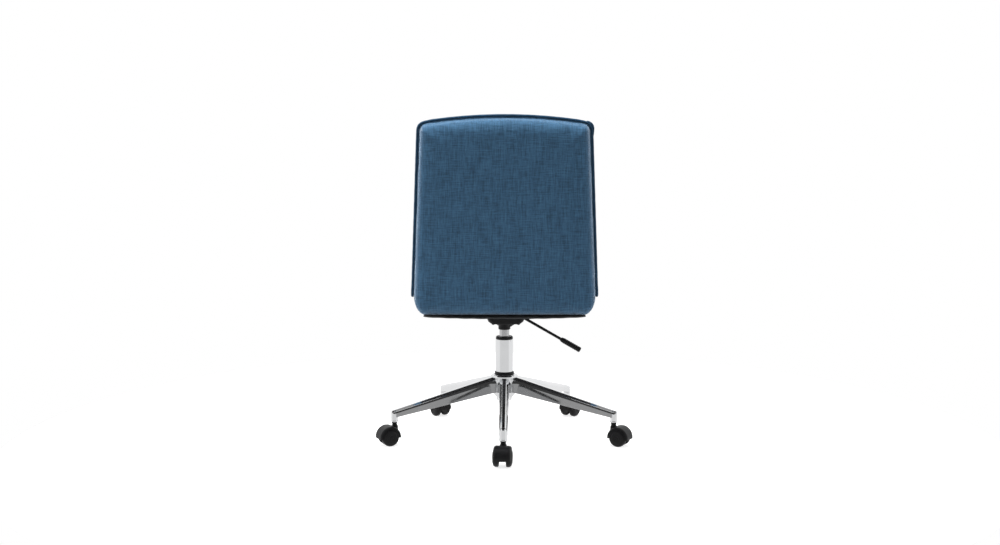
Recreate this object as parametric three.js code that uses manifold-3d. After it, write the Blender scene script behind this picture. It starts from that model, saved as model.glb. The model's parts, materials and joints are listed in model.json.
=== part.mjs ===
// Armless swivel office chair: an L-shaped upholstered seat and back on a tilting mechanism, a gas lift
// and a five-arm base with twin-wheel casters. Millimetres, +Z up, the sitter faces -Y, and the origin
// is on the floor under the column.

import * as THREE from 'three';
import * as BufferGeometryUtils from 'three/addons/utils/BufferGeometryUtils.js';
import Module from 'manifold-3d';

const wasm = await Module();
wasm.setup();

// ---------------------------------------------------------------- driving dimensions

const GAP = 0.35; // clearance between pieces that touch

// base
const ARM_COUNT = 5;
const ARM_STEP = (2 * Math.PI) / ARM_COUNT;
const FIRST_ARM_ANGLE = THREE.MathUtils.degToRad(89.3); // one arm points almost straight back
const STAR_RADIUS = 322.5; // column axis to caster stem
const ARM_TOP_Z = 179;
const ARM_TIP_Z = 99;
const ARM_ROOT_DEPTH = 45;
const ARM_TIP_DEPTH = 21;
const ARM_ROOT_WIDTH = 30;
const ARM_TIP_WIDTH = 21;
const ARM_WALL = 2.2;
const SOCKET_RADIUS = 10.5;
const SOCKET_BOTTOM_Z = 65.5;
const HUB_BOTTOM_Z = 117;
const HUB_TOP_Z = 182;
const HUB_FLARE_RADIUS = 38.5;
const HUB_BELL_RADIUS = 33;
const HUB_FOOT_RADIUS = 24.5;

// casters
const WHEEL_RADIUS = 25;
const WHEEL_INNER_FACE = 10.5;
const WHEEL_OUTER_FACE = 26.5;
const CASTER_TRAIL = 19;
const CASTER_TURNS = [-5, -9, 0, 0, 9]; // degrees each caster stands off its arm's direction
const HOOD_RADIUS = 31;
const HOOD_THICKNESS = 2.4;
const HOOD_WIDTH = 47;
const CORE_WIDTH = 18;
const CORE_RADIUS = 29.5;
const NECK_RADIUS = 7;
const NECK_TOP_Z = 64.5;
const STEM_RADIUS = 5.5;
const STEM_TOP_Z = 88;
const STEM_BOTTOM_Z = 44;
const AXLE_RADIUS = 3;
const AXLE_HALF_LENGTH = 21.6;

// gas lift
const TUBE_RADIUS = 25;
const TUBE_WALL = 1.7;
const TUBE_TOP_Z = 285;
const TUBE_BOTTOM_Z = 108;
const TUBE_FOOT_RADIUS = 21.6;
const TUBE_FLOOR = 3;
const COLLAR_RADIUS = 28;
const COLLAR_TOP_Z = 191.5;
const GUIDE_RADIUS = 24.4;
const GUIDE_TOP_Z = 292.5;
const GUIDE_BOTTOM_Z = 205;
const CYLINDER_RADIUS = 14;
const CYLINDER_BOTTOM_Z = 132;
const CYLINDER_TOP_Z = 348;
const CYLINDER_TIP_RADIUS = 13.2;
const ROD_RADIUS = 5;
const ROD_BOTTOM_Z = 103;
const ROD_TOP_Z = 236;
const ROD_BORE_TOP_Z = 250;
const VALVE_RADIUS = 4;
const VALVE_TOP_Z = 351.6;

// mechanism
const MECH_HUB_RADIUS = 17;
const MECH_HUB_BOTTOM_Z = 312;
const MECH_HUB_TOP_Z = 349.5;
const HOUSING_CENTRE_X = -4; // the dish reaches further to the lever's side
const HOUSING_BOTTOM_Z = 332;
const HOUSING_KNEE_Z = 341;
const HOUSING_SHOULDER_Z = 350;
const HOUSING_TOP_Z = 358;
const HOUSING_HALF_WIDTH = 53;
const HOUSING_KNEE_HALF_WIDTH = 49.5;
const HOUSING_FOOT_HALF_WIDTH = 41.5;
const HOUSING_REAR_Y = 56;
const HOUSING_FRONT_Y = -118;
const HOUSING_FLOOR_FRONT_Y = -56;
const SHEET = 2.5; // pressed steel
const TILT_Y = -30;
const TILT_Z = 362;
const TILT_PIN_RADIUS = 5;
const TILT_EAR_X = 38;
const BOLT_Y = -84; // tension bolt
const BRIDGE_Z = 352;
const SPRING_RADIUS = 9;
const SPRING_WIRE = 1.5;
const SPRING_TURNS = 5;
const KNOB_RADIUS = 22;
const KNOB_BOTTOM_Z = 311;
const KNOB_TOP_Z = 330;
const KNOB_FLOOR_Z = 320;
const PLATE_BOTTOM_Z = 377.3;
const PLATE_THICKNESS = 3;
const PLATE_HALF_WIDTH = 75;
const PLATE_FRONT_Y = -98;
const PLATE_REAR_Y = 80;
const SEAT_BOLT_X = 62;
const SEAT_BOLT_YS = [-80, 64];

// height lever
const LEVER_RADIUS = 4;
const LEVER_Z = 356;
const LEVER_PIVOT_X = -34;
const LEVER_BEND_X = -36;
const LEVER_DROOP = THREE.MathUtils.degToRad(30);
const LEVER_LENGTH = 145; // from the bend to the start of the grip
const GRIP_RADIUS = 7.6;
const GRIP_LENGTH = 64;

// seat and back
const LEAN = THREE.MathUtils.degToRad(6);
const REAR_Y = 250; // rear face of the back, at the height of the seam
const SEAM_Z = 431; // where the seat cushion meets the box below it
const PAD_HALF_WIDTH = 252; // at the seam
const BACK_TAPER = 0.0444; // half width lost per unit of height
const PAD_TOP = 488.7; // up the leaning back, from the seam
const TOP_CROWN_RADIUS = 1360;
const SHELL_INSET = 9;
const SHELL_BOTTOM = -48;
const PAD_BOTTOM = 54.8;
const PAD_BOTTOM_SLOPE = 0.3; // how fast the cushion's lower edge rises as its outline shrinks
const PAD_TOP_SLOPE = 0.25; // the cushion's top falls away toward the front
const SHELL_DEPTH = 22;
const BOARD_THICKNESS = 12;
const WELT_RADIUS = 4;
const WELT_DEPTH = 34; // from the rear face to the middle of the welt
const WELT_INSET = 4.5;
const BOARD_INSET = 24;
const SEAT_BOARD_INSET = 44;
const TUCK_WIDTH = 28; // the lower edges of seat and back curve in under the boards
const TUCK_HEIGHT = 44;
const DUST_COVER_INSET = 34;
const DUST_COVER_REAR_Y = 236;
const SEAT_FRONT_Y = -262;
const SEAT_REAR_Y = 202; // rear corners of the seat cushion, just in front of the rising welt
const TONGUE_HALF_WIDTH = 236; // between the welts the cushion runs on to the back
const SEAT_SHELL_REAR_Y = 214;
const SEAT_BOTTOM_Z = 382.4;
const SEAT_TOP_Z = 489;
const SEAT_FRONT_CORNER = 55;
const SEAT_REAR_CORNER = 8;
const WELT_SEAT_Z = SEAM_Z + WELT_RADIUS;
const BRACKET_X = 135;
const BRACKET_WIDTH = 30;
const BRACKET_THICKNESS = 3;

// ---------------------------------------------------------------- colours and finishes

function finish(color, roughness, metalness = 0) {
  return new THREE.MeshStandardMaterial({ color, roughness, metalness });
}

const chrome = () => finish(0xd8d9db, 0.12, 1);
const steel = () => finish(0x8f9295, 0.4, 1);
const blackSteel = () => finish(0x17181a, 0.5, 0.6);
const blackPlastic = () => finish(0x1a1a1c, 0.55);
const blueFabric = () => finish(0x385c76, 0.95);
const navyFabric = () => finish(0x15283c, 0.95);
const blackCloth = () => finish(0x121214, 0.95);
const plywood = () => finish(0xb08d5f, 0.8);

// ---------------------------------------------------------------- mesh helpers

const vec = (x, y, z) => new THREE.Vector3(x, y, z);

function signedVolume(positions, triangles) {
  const a = new THREE.Vector3();
  const b = new THREE.Vector3();
  const c = new THREE.Vector3();
  let total = 0;
  for (const [i, j, k] of triangles) {
    a.fromArray(positions, 3 * i);
    b.fromArray(positions, 3 * j);
    c.fromArray(positions, 3 * k);
    total += a.dot(b.cross(c));
  }
  return total / 6;
}

// One closed surface with shared vertices, no empty triangles and its faces pointing out.
function closed(geometry) {
  const bare = geometry.clone();
  bare.deleteAttribute('normal');
  bare.deleteAttribute('uv');
  const merged = BufferGeometryUtils.mergeVertices(bare, 1e-4);
  const index = merged.index.array;
  const triangles = [];
  for (let i = 0; i < index.length; i += 3) {
    const [a, b, c] = [index[i], index[i + 1], index[i + 2]];
    if (a !== b && b !== c && c !== a) triangles.push([a, b, c]);
  }
  const positions = merged.attributes.position.array;
  const inward = signedVolume(positions, triangles) < 0;
  const ordered = triangles.map(([a, b, c]) => (inward ? [a, c, b] : [a, b, c]));
  merged.setIndex(ordered.flat());
  return merged;
}

function toSolid(geometry) {
  const mesh = closed(geometry);
  return new wasm.Manifold(new wasm.Mesh({
    numProp: 3,
    vertProperties: new Float32Array(mesh.attributes.position.array),
    triVerts: new Uint32Array(mesh.index.array),
  }));
}

function toGeometry(solid) {
  const mesh = solid.getMesh();
  const geometry = new THREE.BufferGeometry();
  geometry.setAttribute('position', new THREE.BufferAttribute(mesh.vertProperties.slice(), 3));
  geometry.setIndex(new THREE.BufferAttribute(mesh.triVerts.slice(), 1));
  return geometry;
}

function join(...geometries) {
  return toGeometry(geometries.map(toSolid).reduce((whole, piece) => whole.add(piece)));
}

function cut(geometry, ...tools) {
  return toGeometry(tools.map(toSolid).reduce((rest, tool) => rest.subtract(tool), toSolid(geometry)));
}

// A solid of revolution about Z from [radius, height] points.
function lathe(profile, segments = 24) {
  const points = profile.map(([radius, height]) => new THREE.Vector2(radius, height));
  return new THREE.LatheGeometry(points, segments).rotateX(Math.PI / 2);
}

// The same for a ring: its profile closes on itself.
function latheRing(profile, segments = 24) {
  return lathe([...profile, profile[0]], segments);
}

function rod(radius, from, to, segments = 12) {
  const axis = to.clone().sub(from);
  const geometry = new THREE.CylinderGeometry(radius, radius, axis.length(), segments);
  const turn = new THREE.Quaternion().setFromUnitVectors(vec(0, 1, 0), axis.clone().normalize());
  const middle = from.clone().add(to).multiplyScalar(0.5);
  return geometry.applyQuaternion(turn).translate(middle.x, middle.y, middle.z);
}

function box(x0, x1, y0, y1, z0, z1) {
  return new THREE.BoxGeometry(x1 - x0, y1 - y0, z1 - z0)
    .translate((x0 + x1) / 2, (y0 + y1) / 2, (z0 + z1) / 2);
}

// A flat plate drawn in the X-Z plane and spread evenly about Y = 0.
function plateXZ(shape, thickness, curveSegments = 12) {
  return new THREE.ExtrudeGeometry(shape, { depth: thickness, bevelEnabled: false, curveSegments })
    .rotateX(Math.PI / 2)
    .translate(0, thickness / 2, 0);
}

// A bar along X drawn in the Y-Z plane.
function barYZ(outline, x0, x1) {
  const rings = [x0, x1].map((x) => outline.map(([y, z]) => vec(x, y, z)));
  return loft(rings);
}

function capTriangles(ring) {
  const normal = new THREE.Vector3();
  ring.forEach((point, i) => {
    normal.add(point.clone().cross(ring[(i + 1) % ring.length]));
  });
  const flat = new THREE.Quaternion().setFromUnitVectors(normal.normalize(), vec(0, 0, 1));
  const outline = ring.map((point) => {
    const turned = point.clone().applyQuaternion(flat);
    return new THREE.Vector2(turned.x, turned.y);
  });
  return THREE.ShapeUtils.triangulateShape(outline, []);
}

// Skin over rings of points, each ring with the same number. A loop joins its last ring to its first.
function loft(rings, isLoop = false) {
  const count = rings[0].length;
  const positions = rings.flat().flatMap((point) => point.toArray());
  const triangles = [];
  const spans = isLoop ? rings.length : rings.length - 1;
  for (let i = 0; i < spans; i += 1) {
    const lower = i * count;
    const upper = ((i + 1) % rings.length) * count;
    for (let j = 0; j < count; j += 1) {
      const next = (j + 1) % count;
      triangles.push([lower + j, lower + next, upper + next]);
      triangles.push([lower + j, upper + next, upper + j]);
    }
  }
  if (!isLoop) {
    const last = (rings.length - 1) * count;
    capTriangles(rings[0]).forEach(([a, b, c]) => triangles.push([a, c, b]));
    capTriangles(rings.at(-1)).forEach(([a, b, c]) => triangles.push([last + a, last + b, last + c]));
  }
  const geometry = new THREE.BufferGeometry();
  geometry.setAttribute('position', new THREE.Float32BufferAttribute(positions, 3));
  geometry.setIndex(triangles.flat());
  return closed(geometry);
}

// Unit directions across a path, carried from point to point without twist.
function carriedNormals(tangents, isLoop) {
  const start = Math.abs(tangents[0].z) < 0.9 ? vec(0, 0, 1) : vec(1, 0, 0);
  const carry = (normal, tangent) => normal.clone().projectOnPlane(tangent).normalize();
  const normals = [carry(start, tangents[0])];
  tangents.slice(1).forEach((tangent) => normals.push(carry(normals.at(-1), tangent)));
  if (!isLoop) return normals;
  const arrived = carry(normals.at(-1), tangents[0]);
  const side = tangents[0].clone().cross(normals[0]);
  const twist = Math.atan2(arrived.dot(side), arrived.dot(normals[0]));
  return normals.map((normal, i) => (
    normal.applyAxisAngle(tangents[i], (-twist * i) / tangents.length)
  ));
}

// A round tube with one ring of corners at each point of a path.
function tube(points, radius, sides, isLoop = false) {
  const count = points.length;
  const tangents = points.map((point, i) => {
    const before = isLoop ? points[(i + count - 1) % count] : points[Math.max(i - 1, 0)];
    const after = isLoop ? points[(i + 1) % count] : points[Math.min(i + 1, count - 1)];
    return after.clone().sub(before).normalize();
  });
  const normals = carriedNormals(tangents, isLoop);
  const rings = points.map((point, i) => {
    const across = tangents[i].clone().cross(normals[i]);
    return Array.from({ length: sides }, (_, j) => {
      const angle = (2 * Math.PI * j) / sides;
      return point.clone()
        .addScaledVector(normals[i], radius * Math.cos(angle))
        .addScaledVector(across, radius * Math.sin(angle));
    });
  });
  return loft(rings, isLoop);
}

function named(name, geometry, material) {
  const mesh = new THREE.Mesh(closed(geometry), material);
  mesh.name = name;
  return mesh;
}

function group(...children) {
  const holder = new THREE.Group();
  holder.add(...children);
  return holder;
}

// ---------------------------------------------------------------- base

// Outside of the hub from its foot over its bell to its flared top, grown by a clearance.
function hubOutside(clearance) {
  return [
    [HUB_FOOT_RADIUS + clearance, HUB_BOTTOM_Z - clearance],
    [HUB_BELL_RADIUS - 3.5 + clearance, HUB_BOTTOM_Z + 7],
    [HUB_BELL_RADIUS - 0.5 + clearance, HUB_BOTTOM_Z + 18],
    [HUB_BELL_RADIUS + 0.5 + clearance, HUB_BOTTOM_Z + 36],
    [HUB_BELL_RADIUS + 2 + clearance, HUB_TOP_Z - 12],
    [HUB_FLARE_RADIUS + clearance, HUB_TOP_Z - 5],
    [HUB_FLARE_RADIUS - 1.5 + clearance, HUB_TOP_Z + clearance],
  ];
}

// Radius of the gas lift's tapered foot at a height.
function tubeFootRadius(z) {
  const share = (z - TUBE_BOTTOM_Z) / (HUB_TOP_Z - TUBE_BOTTOM_Z);
  return TUBE_FOOT_RADIUS + share * (TUBE_RADIUS - 0.2 - TUBE_FOOT_RADIUS);
}

function baseHub() {
  const bore = [
    [tubeFootRadius(HUB_TOP_Z) + GAP, HUB_TOP_Z],
    [tubeFootRadius(HUB_BOTTOM_Z) + GAP, HUB_BOTTOM_Z],
  ];
  return named('base_hub', latheRing([...hubOutside(0), ...bore], 30), chrome());
}

// Roof of an arm from its eave inward to its narrow flat ridge, as [sideways, up].
function roof(half, top) {
  return [
    [half, top - half * 0.95],
    [half * 0.8, top - half * 0.5],
    [half * 0.38, top],
  ];
}

// Inverted U across an arm: outside over the roof, then back along the inside.
function armSection(x, width, top, depth) {
  const half = width / 2;
  const bottom = top - depth;
  const outer = [[half, bottom], ...roof(half, top)];
  const inner = [
    [half * 0.38, top - ARM_WALL],
    [half - ARM_WALL, top - half * 0.95],
    [half - ARM_WALL, bottom],
  ];
  const mirrored = (points) => points.map(([y, z]) => [-y, z]).reverse();
  const outline = [...outer, ...mirrored(outer), ...mirrored(inner), ...inner];
  return outline.map(([y, z]) => vec(x, y, z));
}

function casterSocket() {
  const profile = [
    [0, SOCKET_BOTTOM_Z],
    [SOCKET_RADIUS, SOCKET_BOTTOM_Z],
    ...roof(SOCKET_RADIUS, ARM_TIP_Z),
    [0, ARM_TIP_Z],
  ];
  return lathe(profile, 20).translate(STAR_RADIUS, 0, 0);
}

function baseArm(number, angle) {
  const root = armSection(26, ARM_ROOT_WIDTH, ARM_TOP_Z, ARM_ROOT_DEPTH);
  const tip = armSection(STAR_RADIUS, ARM_TIP_WIDTH, ARM_TIP_Z, ARM_TIP_DEPTH);
  const stemBore = rod(
    STEM_RADIUS + GAP,
    vec(STAR_RADIUS, 0, SOCKET_BOTTOM_Z - 1),
    vec(STAR_RADIUS, 0, STEM_TOP_Z + 2),
    12,
  );
  const hubRoom = lathe([[0, HUB_BOTTOM_Z - GAP], ...hubOutside(GAP), [0, HUB_TOP_Z + GAP]], 30);
  const arm = cut(join(loft([root, tip]), casterSocket()), stemBore, hubRoom);
  const mesh = named(`base_arm_${number}`, arm, chrome());
  mesh.rotation.z = angle;
  return mesh;
}

// ---------------------------------------------------------------- casters

function arc(shape, radius, from, to, clockwise = false) {
  shape.absarc(CASTER_TRAIL, WHEEL_RADIUS, radius, from, to, clockwise);
}

function casterHood(number) {
  const lowEnd = THREE.MathUtils.degToRad(-8);
  const frontEnd = THREE.MathUtils.degToRad(186);
  const band = new THREE.Shape();
  arc(band, HOOD_RADIUS, lowEnd, frontEnd);
  arc(band, HOOD_RADIUS - HOOD_THICKNESS, frontEnd, lowEnd, true);
  const core = new THREE.Shape();
  arc(core, CORE_RADIUS, 0, Math.PI);
  const bossCentre = vec(CASTER_TRAIL, 0, WHEEL_RADIUS);
  const half = vec(0, CORE_WIDTH / 2, 0);
  const boss = rod(8, bossCentre.clone().sub(half), bossCentre.clone().add(half));
  const neck = rod(NECK_RADIUS, vec(0, 0, STEM_BOTTOM_Z - 3), vec(0, 0, NECK_TOP_Z));
  const body = join(plateXZ(band, HOOD_WIDTH, 10), plateXZ(core, CORE_WIDTH, 10), boss, neck);
  const stemBore = rod(STEM_RADIUS + GAP, vec(0, 0, STEM_BOTTOM_Z - GAP), vec(0, 0, NECK_TOP_Z + 1), 12);
  const reach = vec(0, CORE_WIDTH, 0);
  const axleBore = rod(AXLE_RADIUS + GAP, bossCentre.clone().sub(reach), bossCentre.clone().add(reach), 8);
  return named(`caster_hood_${number}`, cut(body, stemBore, axleBore), blackPlastic());
}

function casterStem(number) {
  const profile = [
    [0, STEM_BOTTOM_Z],
    [STEM_RADIUS, STEM_BOTTOM_Z],
    [STEM_RADIUS, STEM_TOP_Z - 2],
    [STEM_RADIUS - 2, STEM_TOP_Z],
    [0, STEM_TOP_Z],
  ];
  return named(`caster_stem_${number}`, lathe(profile, 12), steel());
}

function casterAxle(number) {
  const half = vec(0, AXLE_HALF_LENGTH, 0);
  const axle = named(`caster_axle_${number}`, rod(AXLE_RADIUS, half.clone().negate(), half, 8), steel());
  axle.position.set(CASTER_TRAIL, 0, WHEEL_RADIUS);
  return axle;
}

// A wheel with a closed, domed outer face and a blind bore for its half of the axle.
function casterWheel(name, isLeft) {
  const bore = AXLE_RADIUS + GAP;
  const boreEnd = AXLE_HALF_LENGTH + GAP;
  const profile = [
    [0, boreEnd],
    [bore, boreEnd],
    [bore, WHEEL_INNER_FACE],
    [WHEEL_RADIUS, WHEEL_INNER_FACE],
    [WHEEL_RADIUS, WHEEL_OUTER_FACE - 4.5],
    [WHEEL_RADIUS - 1.2, WHEEL_OUTER_FACE - 1.6],
    [WHEEL_RADIUS - 4, WHEEL_OUTER_FACE - 0.6],
    [0, WHEEL_OUTER_FACE],
  ];
  const points = profile.map(([radius, offset]) => new THREE.Vector2(radius, offset));
  const wheel = named(name, new THREE.LatheGeometry(points, 22), blackPlastic());
  wheel.position.set(CASTER_TRAIL, 0, WHEEL_RADIUS);
  if (!isLeft) wheel.rotation.z = Math.PI;
  return wheel;
}

// A caster stands at the end of its arm and trails outward.
function caster(number, angle) {
  const holder = group(
    casterHood(number),
    casterStem(number),
    casterAxle(number),
    casterWheel(`caster_wheel_${number}_left`, true),
    casterWheel(`caster_wheel_${number}_right`, false),
  );
  holder.position.set(STAR_RADIUS * Math.cos(angle), STAR_RADIUS * Math.sin(angle), 0);
  holder.rotation.z = angle + THREE.MathUtils.degToRad(CASTER_TURNS[number - 1]);
  return holder;
}

// ---------------------------------------------------------------- gas lift

function columnCollar() {
  const inner = TUBE_RADIUS + GAP;
  const bottom = HUB_TOP_Z + GAP;
  const profile = [
    [inner, bottom],
    [COLLAR_RADIUS, bottom],
    [COLLAR_RADIUS, COLLAR_TOP_Z - 2.5],
    [COLLAR_RADIUS - 1.4, COLLAR_TOP_Z],
    [inner, COLLAR_TOP_Z],
  ];
  return named('column_collar', latheRing(profile, 28), blackPlastic());
}

function outerTube() {
  const floorTop = TUBE_BOTTOM_Z + TUBE_FLOOR;
  const profile = [
    [ROD_RADIUS + 1, TUBE_BOTTOM_Z],
    [TUBE_FOOT_RADIUS, TUBE_BOTTOM_Z],
    [tubeFootRadius(HUB_TOP_Z), HUB_TOP_Z],
    [TUBE_RADIUS, HUB_TOP_Z + 1],
    [TUBE_RADIUS, TUBE_TOP_Z],
    [TUBE_RADIUS - TUBE_WALL, TUBE_TOP_Z],
    [TUBE_RADIUS - TUBE_WALL, HUB_TOP_Z],
    [TUBE_FOOT_RADIUS - TUBE_WALL, floorTop],
    [ROD_RADIUS + 1, floorTop],
  ];
  return named('outer_tube', latheRing(profile, 28), chrome());
}

function guideRing() {
  const inner = CYLINDER_RADIUS + GAP;
  const sleeve = TUBE_RADIUS - TUBE_WALL - GAP;
  const profile = [
    [inner, GUIDE_BOTTOM_Z],
    [sleeve, GUIDE_BOTTOM_Z],
    [sleeve, TUBE_TOP_Z + GAP],
    [GUIDE_RADIUS, TUBE_TOP_Z + GAP],
    [GUIDE_RADIUS, GUIDE_TOP_Z - 2.5],
    [GUIDE_RADIUS - 2.5, GUIDE_TOP_Z],
    [inner, GUIDE_TOP_Z],
  ];
  return named('guide_ring', latheRing(profile, 28), blackPlastic());
}

function pistonRod() {
  return named('piston_rod', rod(ROD_RADIUS, vec(0, 0, ROD_BOTTOM_Z), vec(0, 0, ROD_TOP_Z)), steel());
}

function thrustBearing() {
  const inner = ROD_RADIUS + GAP;
  const bottom = TUBE_BOTTOM_Z + TUBE_FLOOR + GAP;
  const profile = [
    [inner, bottom],
    [14, bottom],
    [14, bottom + 2],
    [12.5, bottom + 3.2],
    [14, bottom + 4.4],
    [14, bottom + 6.4],
    [inner, bottom + 6.4],
  ];
  return named('thrust_bearing', latheRing(profile, 16), steel());
}

function retainingClip() {
  const inner = ROD_RADIUS + GAP;
  const profile = [[inner, 104], [10, 104], [10, 106.5], [inner, 106.5]];
  return named('retaining_clip', latheRing(profile, 16), steel());
}

// The sliding cylinder: its foot is bored for the piston rod and its tapered top holds the valve pin.
function gasCylinder() {
  const rodBore = ROD_RADIUS + GAP;
  const valveBore = VALVE_RADIUS + GAP;
  const valveFloor = CYLINDER_TOP_Z - 10;
  const outside = [
    [0, ROD_BORE_TOP_Z],
    [rodBore, ROD_BORE_TOP_Z],
    [rodBore, CYLINDER_BOTTOM_Z],
    [CYLINDER_RADIUS - 1.5, CYLINDER_BOTTOM_Z],
    [CYLINDER_RADIUS, CYLINDER_BOTTOM_Z + 1.5],
    [CYLINDER_RADIUS, MECH_HUB_BOTTOM_Z],
    [CYLINDER_TIP_RADIUS, CYLINDER_TOP_Z],
    [valveBore, CYLINDER_TOP_Z],
    [valveBore, valveFloor],
    [0, valveFloor],
  ];
  return named('gas_cylinder', lathe(outside), steel());
}

function valvePin() {
  const bottom = vec(0, 0, CYLINDER_TOP_Z - 5);
  return named('valve_pin', rod(VALVE_RADIUS, bottom, vec(0, 0, VALVE_TOP_Z)), blackPlastic());
}

// ---------------------------------------------------------------- mechanism

// The dish's cross-section at a given inset from its outside, as a solid running along Y.
function dish(inset, floorZ, topZ, frontY, rearY) {
  const right = [
    [HOUSING_FOOT_HALF_WIDTH - inset, floorZ],
    [HOUSING_KNEE_HALF_WIDTH - inset, HOUSING_KNEE_Z],
    [HOUSING_HALF_WIDTH - inset, HOUSING_SHOULDER_Z],
    [HOUSING_HALF_WIDTH - inset, topZ],
  ];
  const left = right.map(([x, z]) => [-x, z]).reverse();
  return loft([frontY, rearY].map((y) => (
    [...right, ...left].map(([x, z]) => vec(HOUSING_CENTRE_X + x, y, z))
  )));
}

// An upright ear for the tilt pin, its side faces at two distances from the middle of the dish.
function tiltEar(side, inner, outer, bottomZ, topZ) {
  const xs = [inner, outer].map((x) => HOUSING_CENTRE_X + side * x).sort((a, b) => a - b);
  return box(xs[0], xs[1], TILT_Y - 11, TILT_Y + 11, bottomZ, topZ);
}

function housing() {
  const wide = HOUSING_HALF_WIDTH;
  const shell = cut(
    dish(0, HOUSING_BOTTOM_Z, HOUSING_TOP_Z, HOUSING_FRONT_Y, HOUSING_REAR_Y),
    dish(
      SHEET,
      HOUSING_BOTTOM_Z + SHEET,
      HOUSING_TOP_Z + 1,
      HOUSING_FRONT_Y + SHEET,
      HOUSING_REAR_Y - SHEET,
    ),
    box(
      -36,
      36,
      HOUSING_FRONT_Y + SHEET,
      HOUSING_FLOOR_FRONT_Y,
      HOUSING_BOTTOM_Z - 1,
      HOUSING_BOTTOM_Z + SHEET + 1,
    ),
  );
  const hubProfile = [
    [0, MECH_HUB_BOTTOM_Z],
    [MECH_HUB_RADIUS - 2, MECH_HUB_BOTTOM_Z],
    [MECH_HUB_RADIUS, MECH_HUB_BOTTOM_Z + 2.5],
    [MECH_HUB_RADIUS, HOUSING_BOTTOM_Z - 10],
    [MECH_HUB_RADIUS + 9, HOUSING_BOTTOM_Z + 1],
    [MECH_HUB_RADIUS + 2, HOUSING_BOTTOM_Z + 6],
    [MECH_HUB_RADIUS, MECH_HUB_TOP_Z],
    [0, MECH_HUB_TOP_Z],
  ];
  const bridge = box(
    HOUSING_CENTRE_X - wide + 1,
    HOUSING_CENTRE_X + wide - 1,
    BOLT_Y - 20,
    BOLT_Y + 20,
    BRIDGE_Z,
    BRIDGE_Z + SHEET,
  );
  const ears = [-1, 1].map((side) => tiltEar(side, wide - SHEET, wide, HOUSING_SHOULDER_Z, TILT_Z + 9));
  const leverEars = [-1, 1].map((side) => {
    const ys = [side * 8.5, side * 11].sort((a, b) => a - b);
    return box(LEVER_PIVOT_X - 6, LEVER_PIVOT_X + 6, ys[0], ys[1], HOUSING_BOTTOM_Z + 1, LEVER_Z + 6);
  });
  const body = join(shell, lathe(hubProfile), bridge, ...ears, ...leverEars);
  const taper = lathe([
    [0, MECH_HUB_BOTTOM_Z - 1],
    [CYLINDER_RADIUS + GAP, MECH_HUB_BOTTOM_Z - 1],
    [CYLINDER_TIP_RADIUS + GAP, CYLINDER_TOP_Z],
    [CYLINDER_TIP_RADIUS + GAP, MECH_HUB_TOP_Z + 1],
    [0, MECH_HUB_TOP_Z + 1],
  ]);
  const boltHole = rod(11, vec(0, BOLT_Y, BRIDGE_Z - 1), vec(0, BOLT_Y, BRIDGE_Z + SHEET + 1), 16);
  const pivotBore = rod(3 + GAP, vec(LEVER_PIVOT_X, -14, LEVER_Z), vec(LEVER_PIVOT_X, 14, LEVER_Z), 12);
  const sideX = HOUSING_CENTRE_X - wide;
  const leverSlot = box(sideX - 1, sideX + 9, -7, 7, HOUSING_KNEE_Z - 3, HOUSING_TOP_Z + 1);
  const holes = [taper, tiltBore(), boltHole, pivotBore, leverSlot];
  return named('mechanism_housing', cut(body, ...holes), blackSteel());
}

// A round bar on the tilt axis, reaching to both sides of the dish.
function tiltBar(radius, reach) {
  const ends = [-1, 1].map((side) => vec(HOUSING_CENTRE_X + side * reach, TILT_Y, TILT_Z));
  return rod(radius, ...ends);
}

function tiltBore() {
  return tiltBar(TILT_PIN_RADIUS + GAP, HOUSING_HALF_WIDTH + 5);
}

function tiltPin() {
  return named('tilt_pin', tiltBar(TILT_PIN_RADIUS, HOUSING_HALF_WIDTH + 2), steel());
}

function tensionSpring() {
  const margin = SPRING_WIRE + GAP;
  const bottom = KNOB_FLOOR_Z + margin;
  const rise = BRIDGE_Z - margin - bottom;
  const steps = SPRING_TURNS * 9;
  const coil = [];
  for (let i = 0; i <= steps; i += 1) {
    const angle = (2 * Math.PI * SPRING_TURNS * i) / steps;
    const height = bottom + (rise * i) / steps;
    coil.push(vec(SPRING_RADIUS * Math.cos(angle), SPRING_RADIUS * Math.sin(angle), height));
  }
  const spring = named('tension_spring', tube(coil, SPRING_WIRE, 5), steel());
  spring.position.y = BOLT_Y;
  return spring;
}

// A lobed hand knob moulded round the tension bolt, with a cup for the spring.
function tensionKnob() {
  const outline = new THREE.Shape();
  const lobes = 6;
  const steps = 24;
  for (let i = 0; i < steps; i += 1) {
    const angle = (2 * Math.PI * i) / steps;
    const radius = KNOB_RADIUS - 1.5 + 1.5 * Math.cos(lobes * angle);
    const corner = [radius * Math.cos(angle), radius * Math.sin(angle)];
    if (i === 0) outline.moveTo(...corner);
    else outline.lineTo(...corner);
  }
  const grip = new THREE.ExtrudeGeometry(outline, {
    depth: KNOB_TOP_Z - KNOB_BOTTOM_Z - 3,
    bevelEnabled: true,
    bevelThickness: 1.5,
    bevelSize: 1.5,
    bevelOffset: -1.5,
    bevelSegments: 1,
  }).translate(0, 0, KNOB_BOTTOM_Z + 1.5);
  const cup = rod(13, vec(0, 0, KNOB_FLOOR_Z), vec(0, 0, KNOB_TOP_Z + 1), 16);
  const bolt = rod(5, vec(0, 0, KNOB_FLOOR_Z - 2), vec(0, 0, PLATE_BOTTOM_Z - 1.5));
  const knob = named('tension_knob', join(cut(grip, cup), bolt), blackPlastic());
  knob.position.y = BOLT_Y;
  return knob;
}

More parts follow.
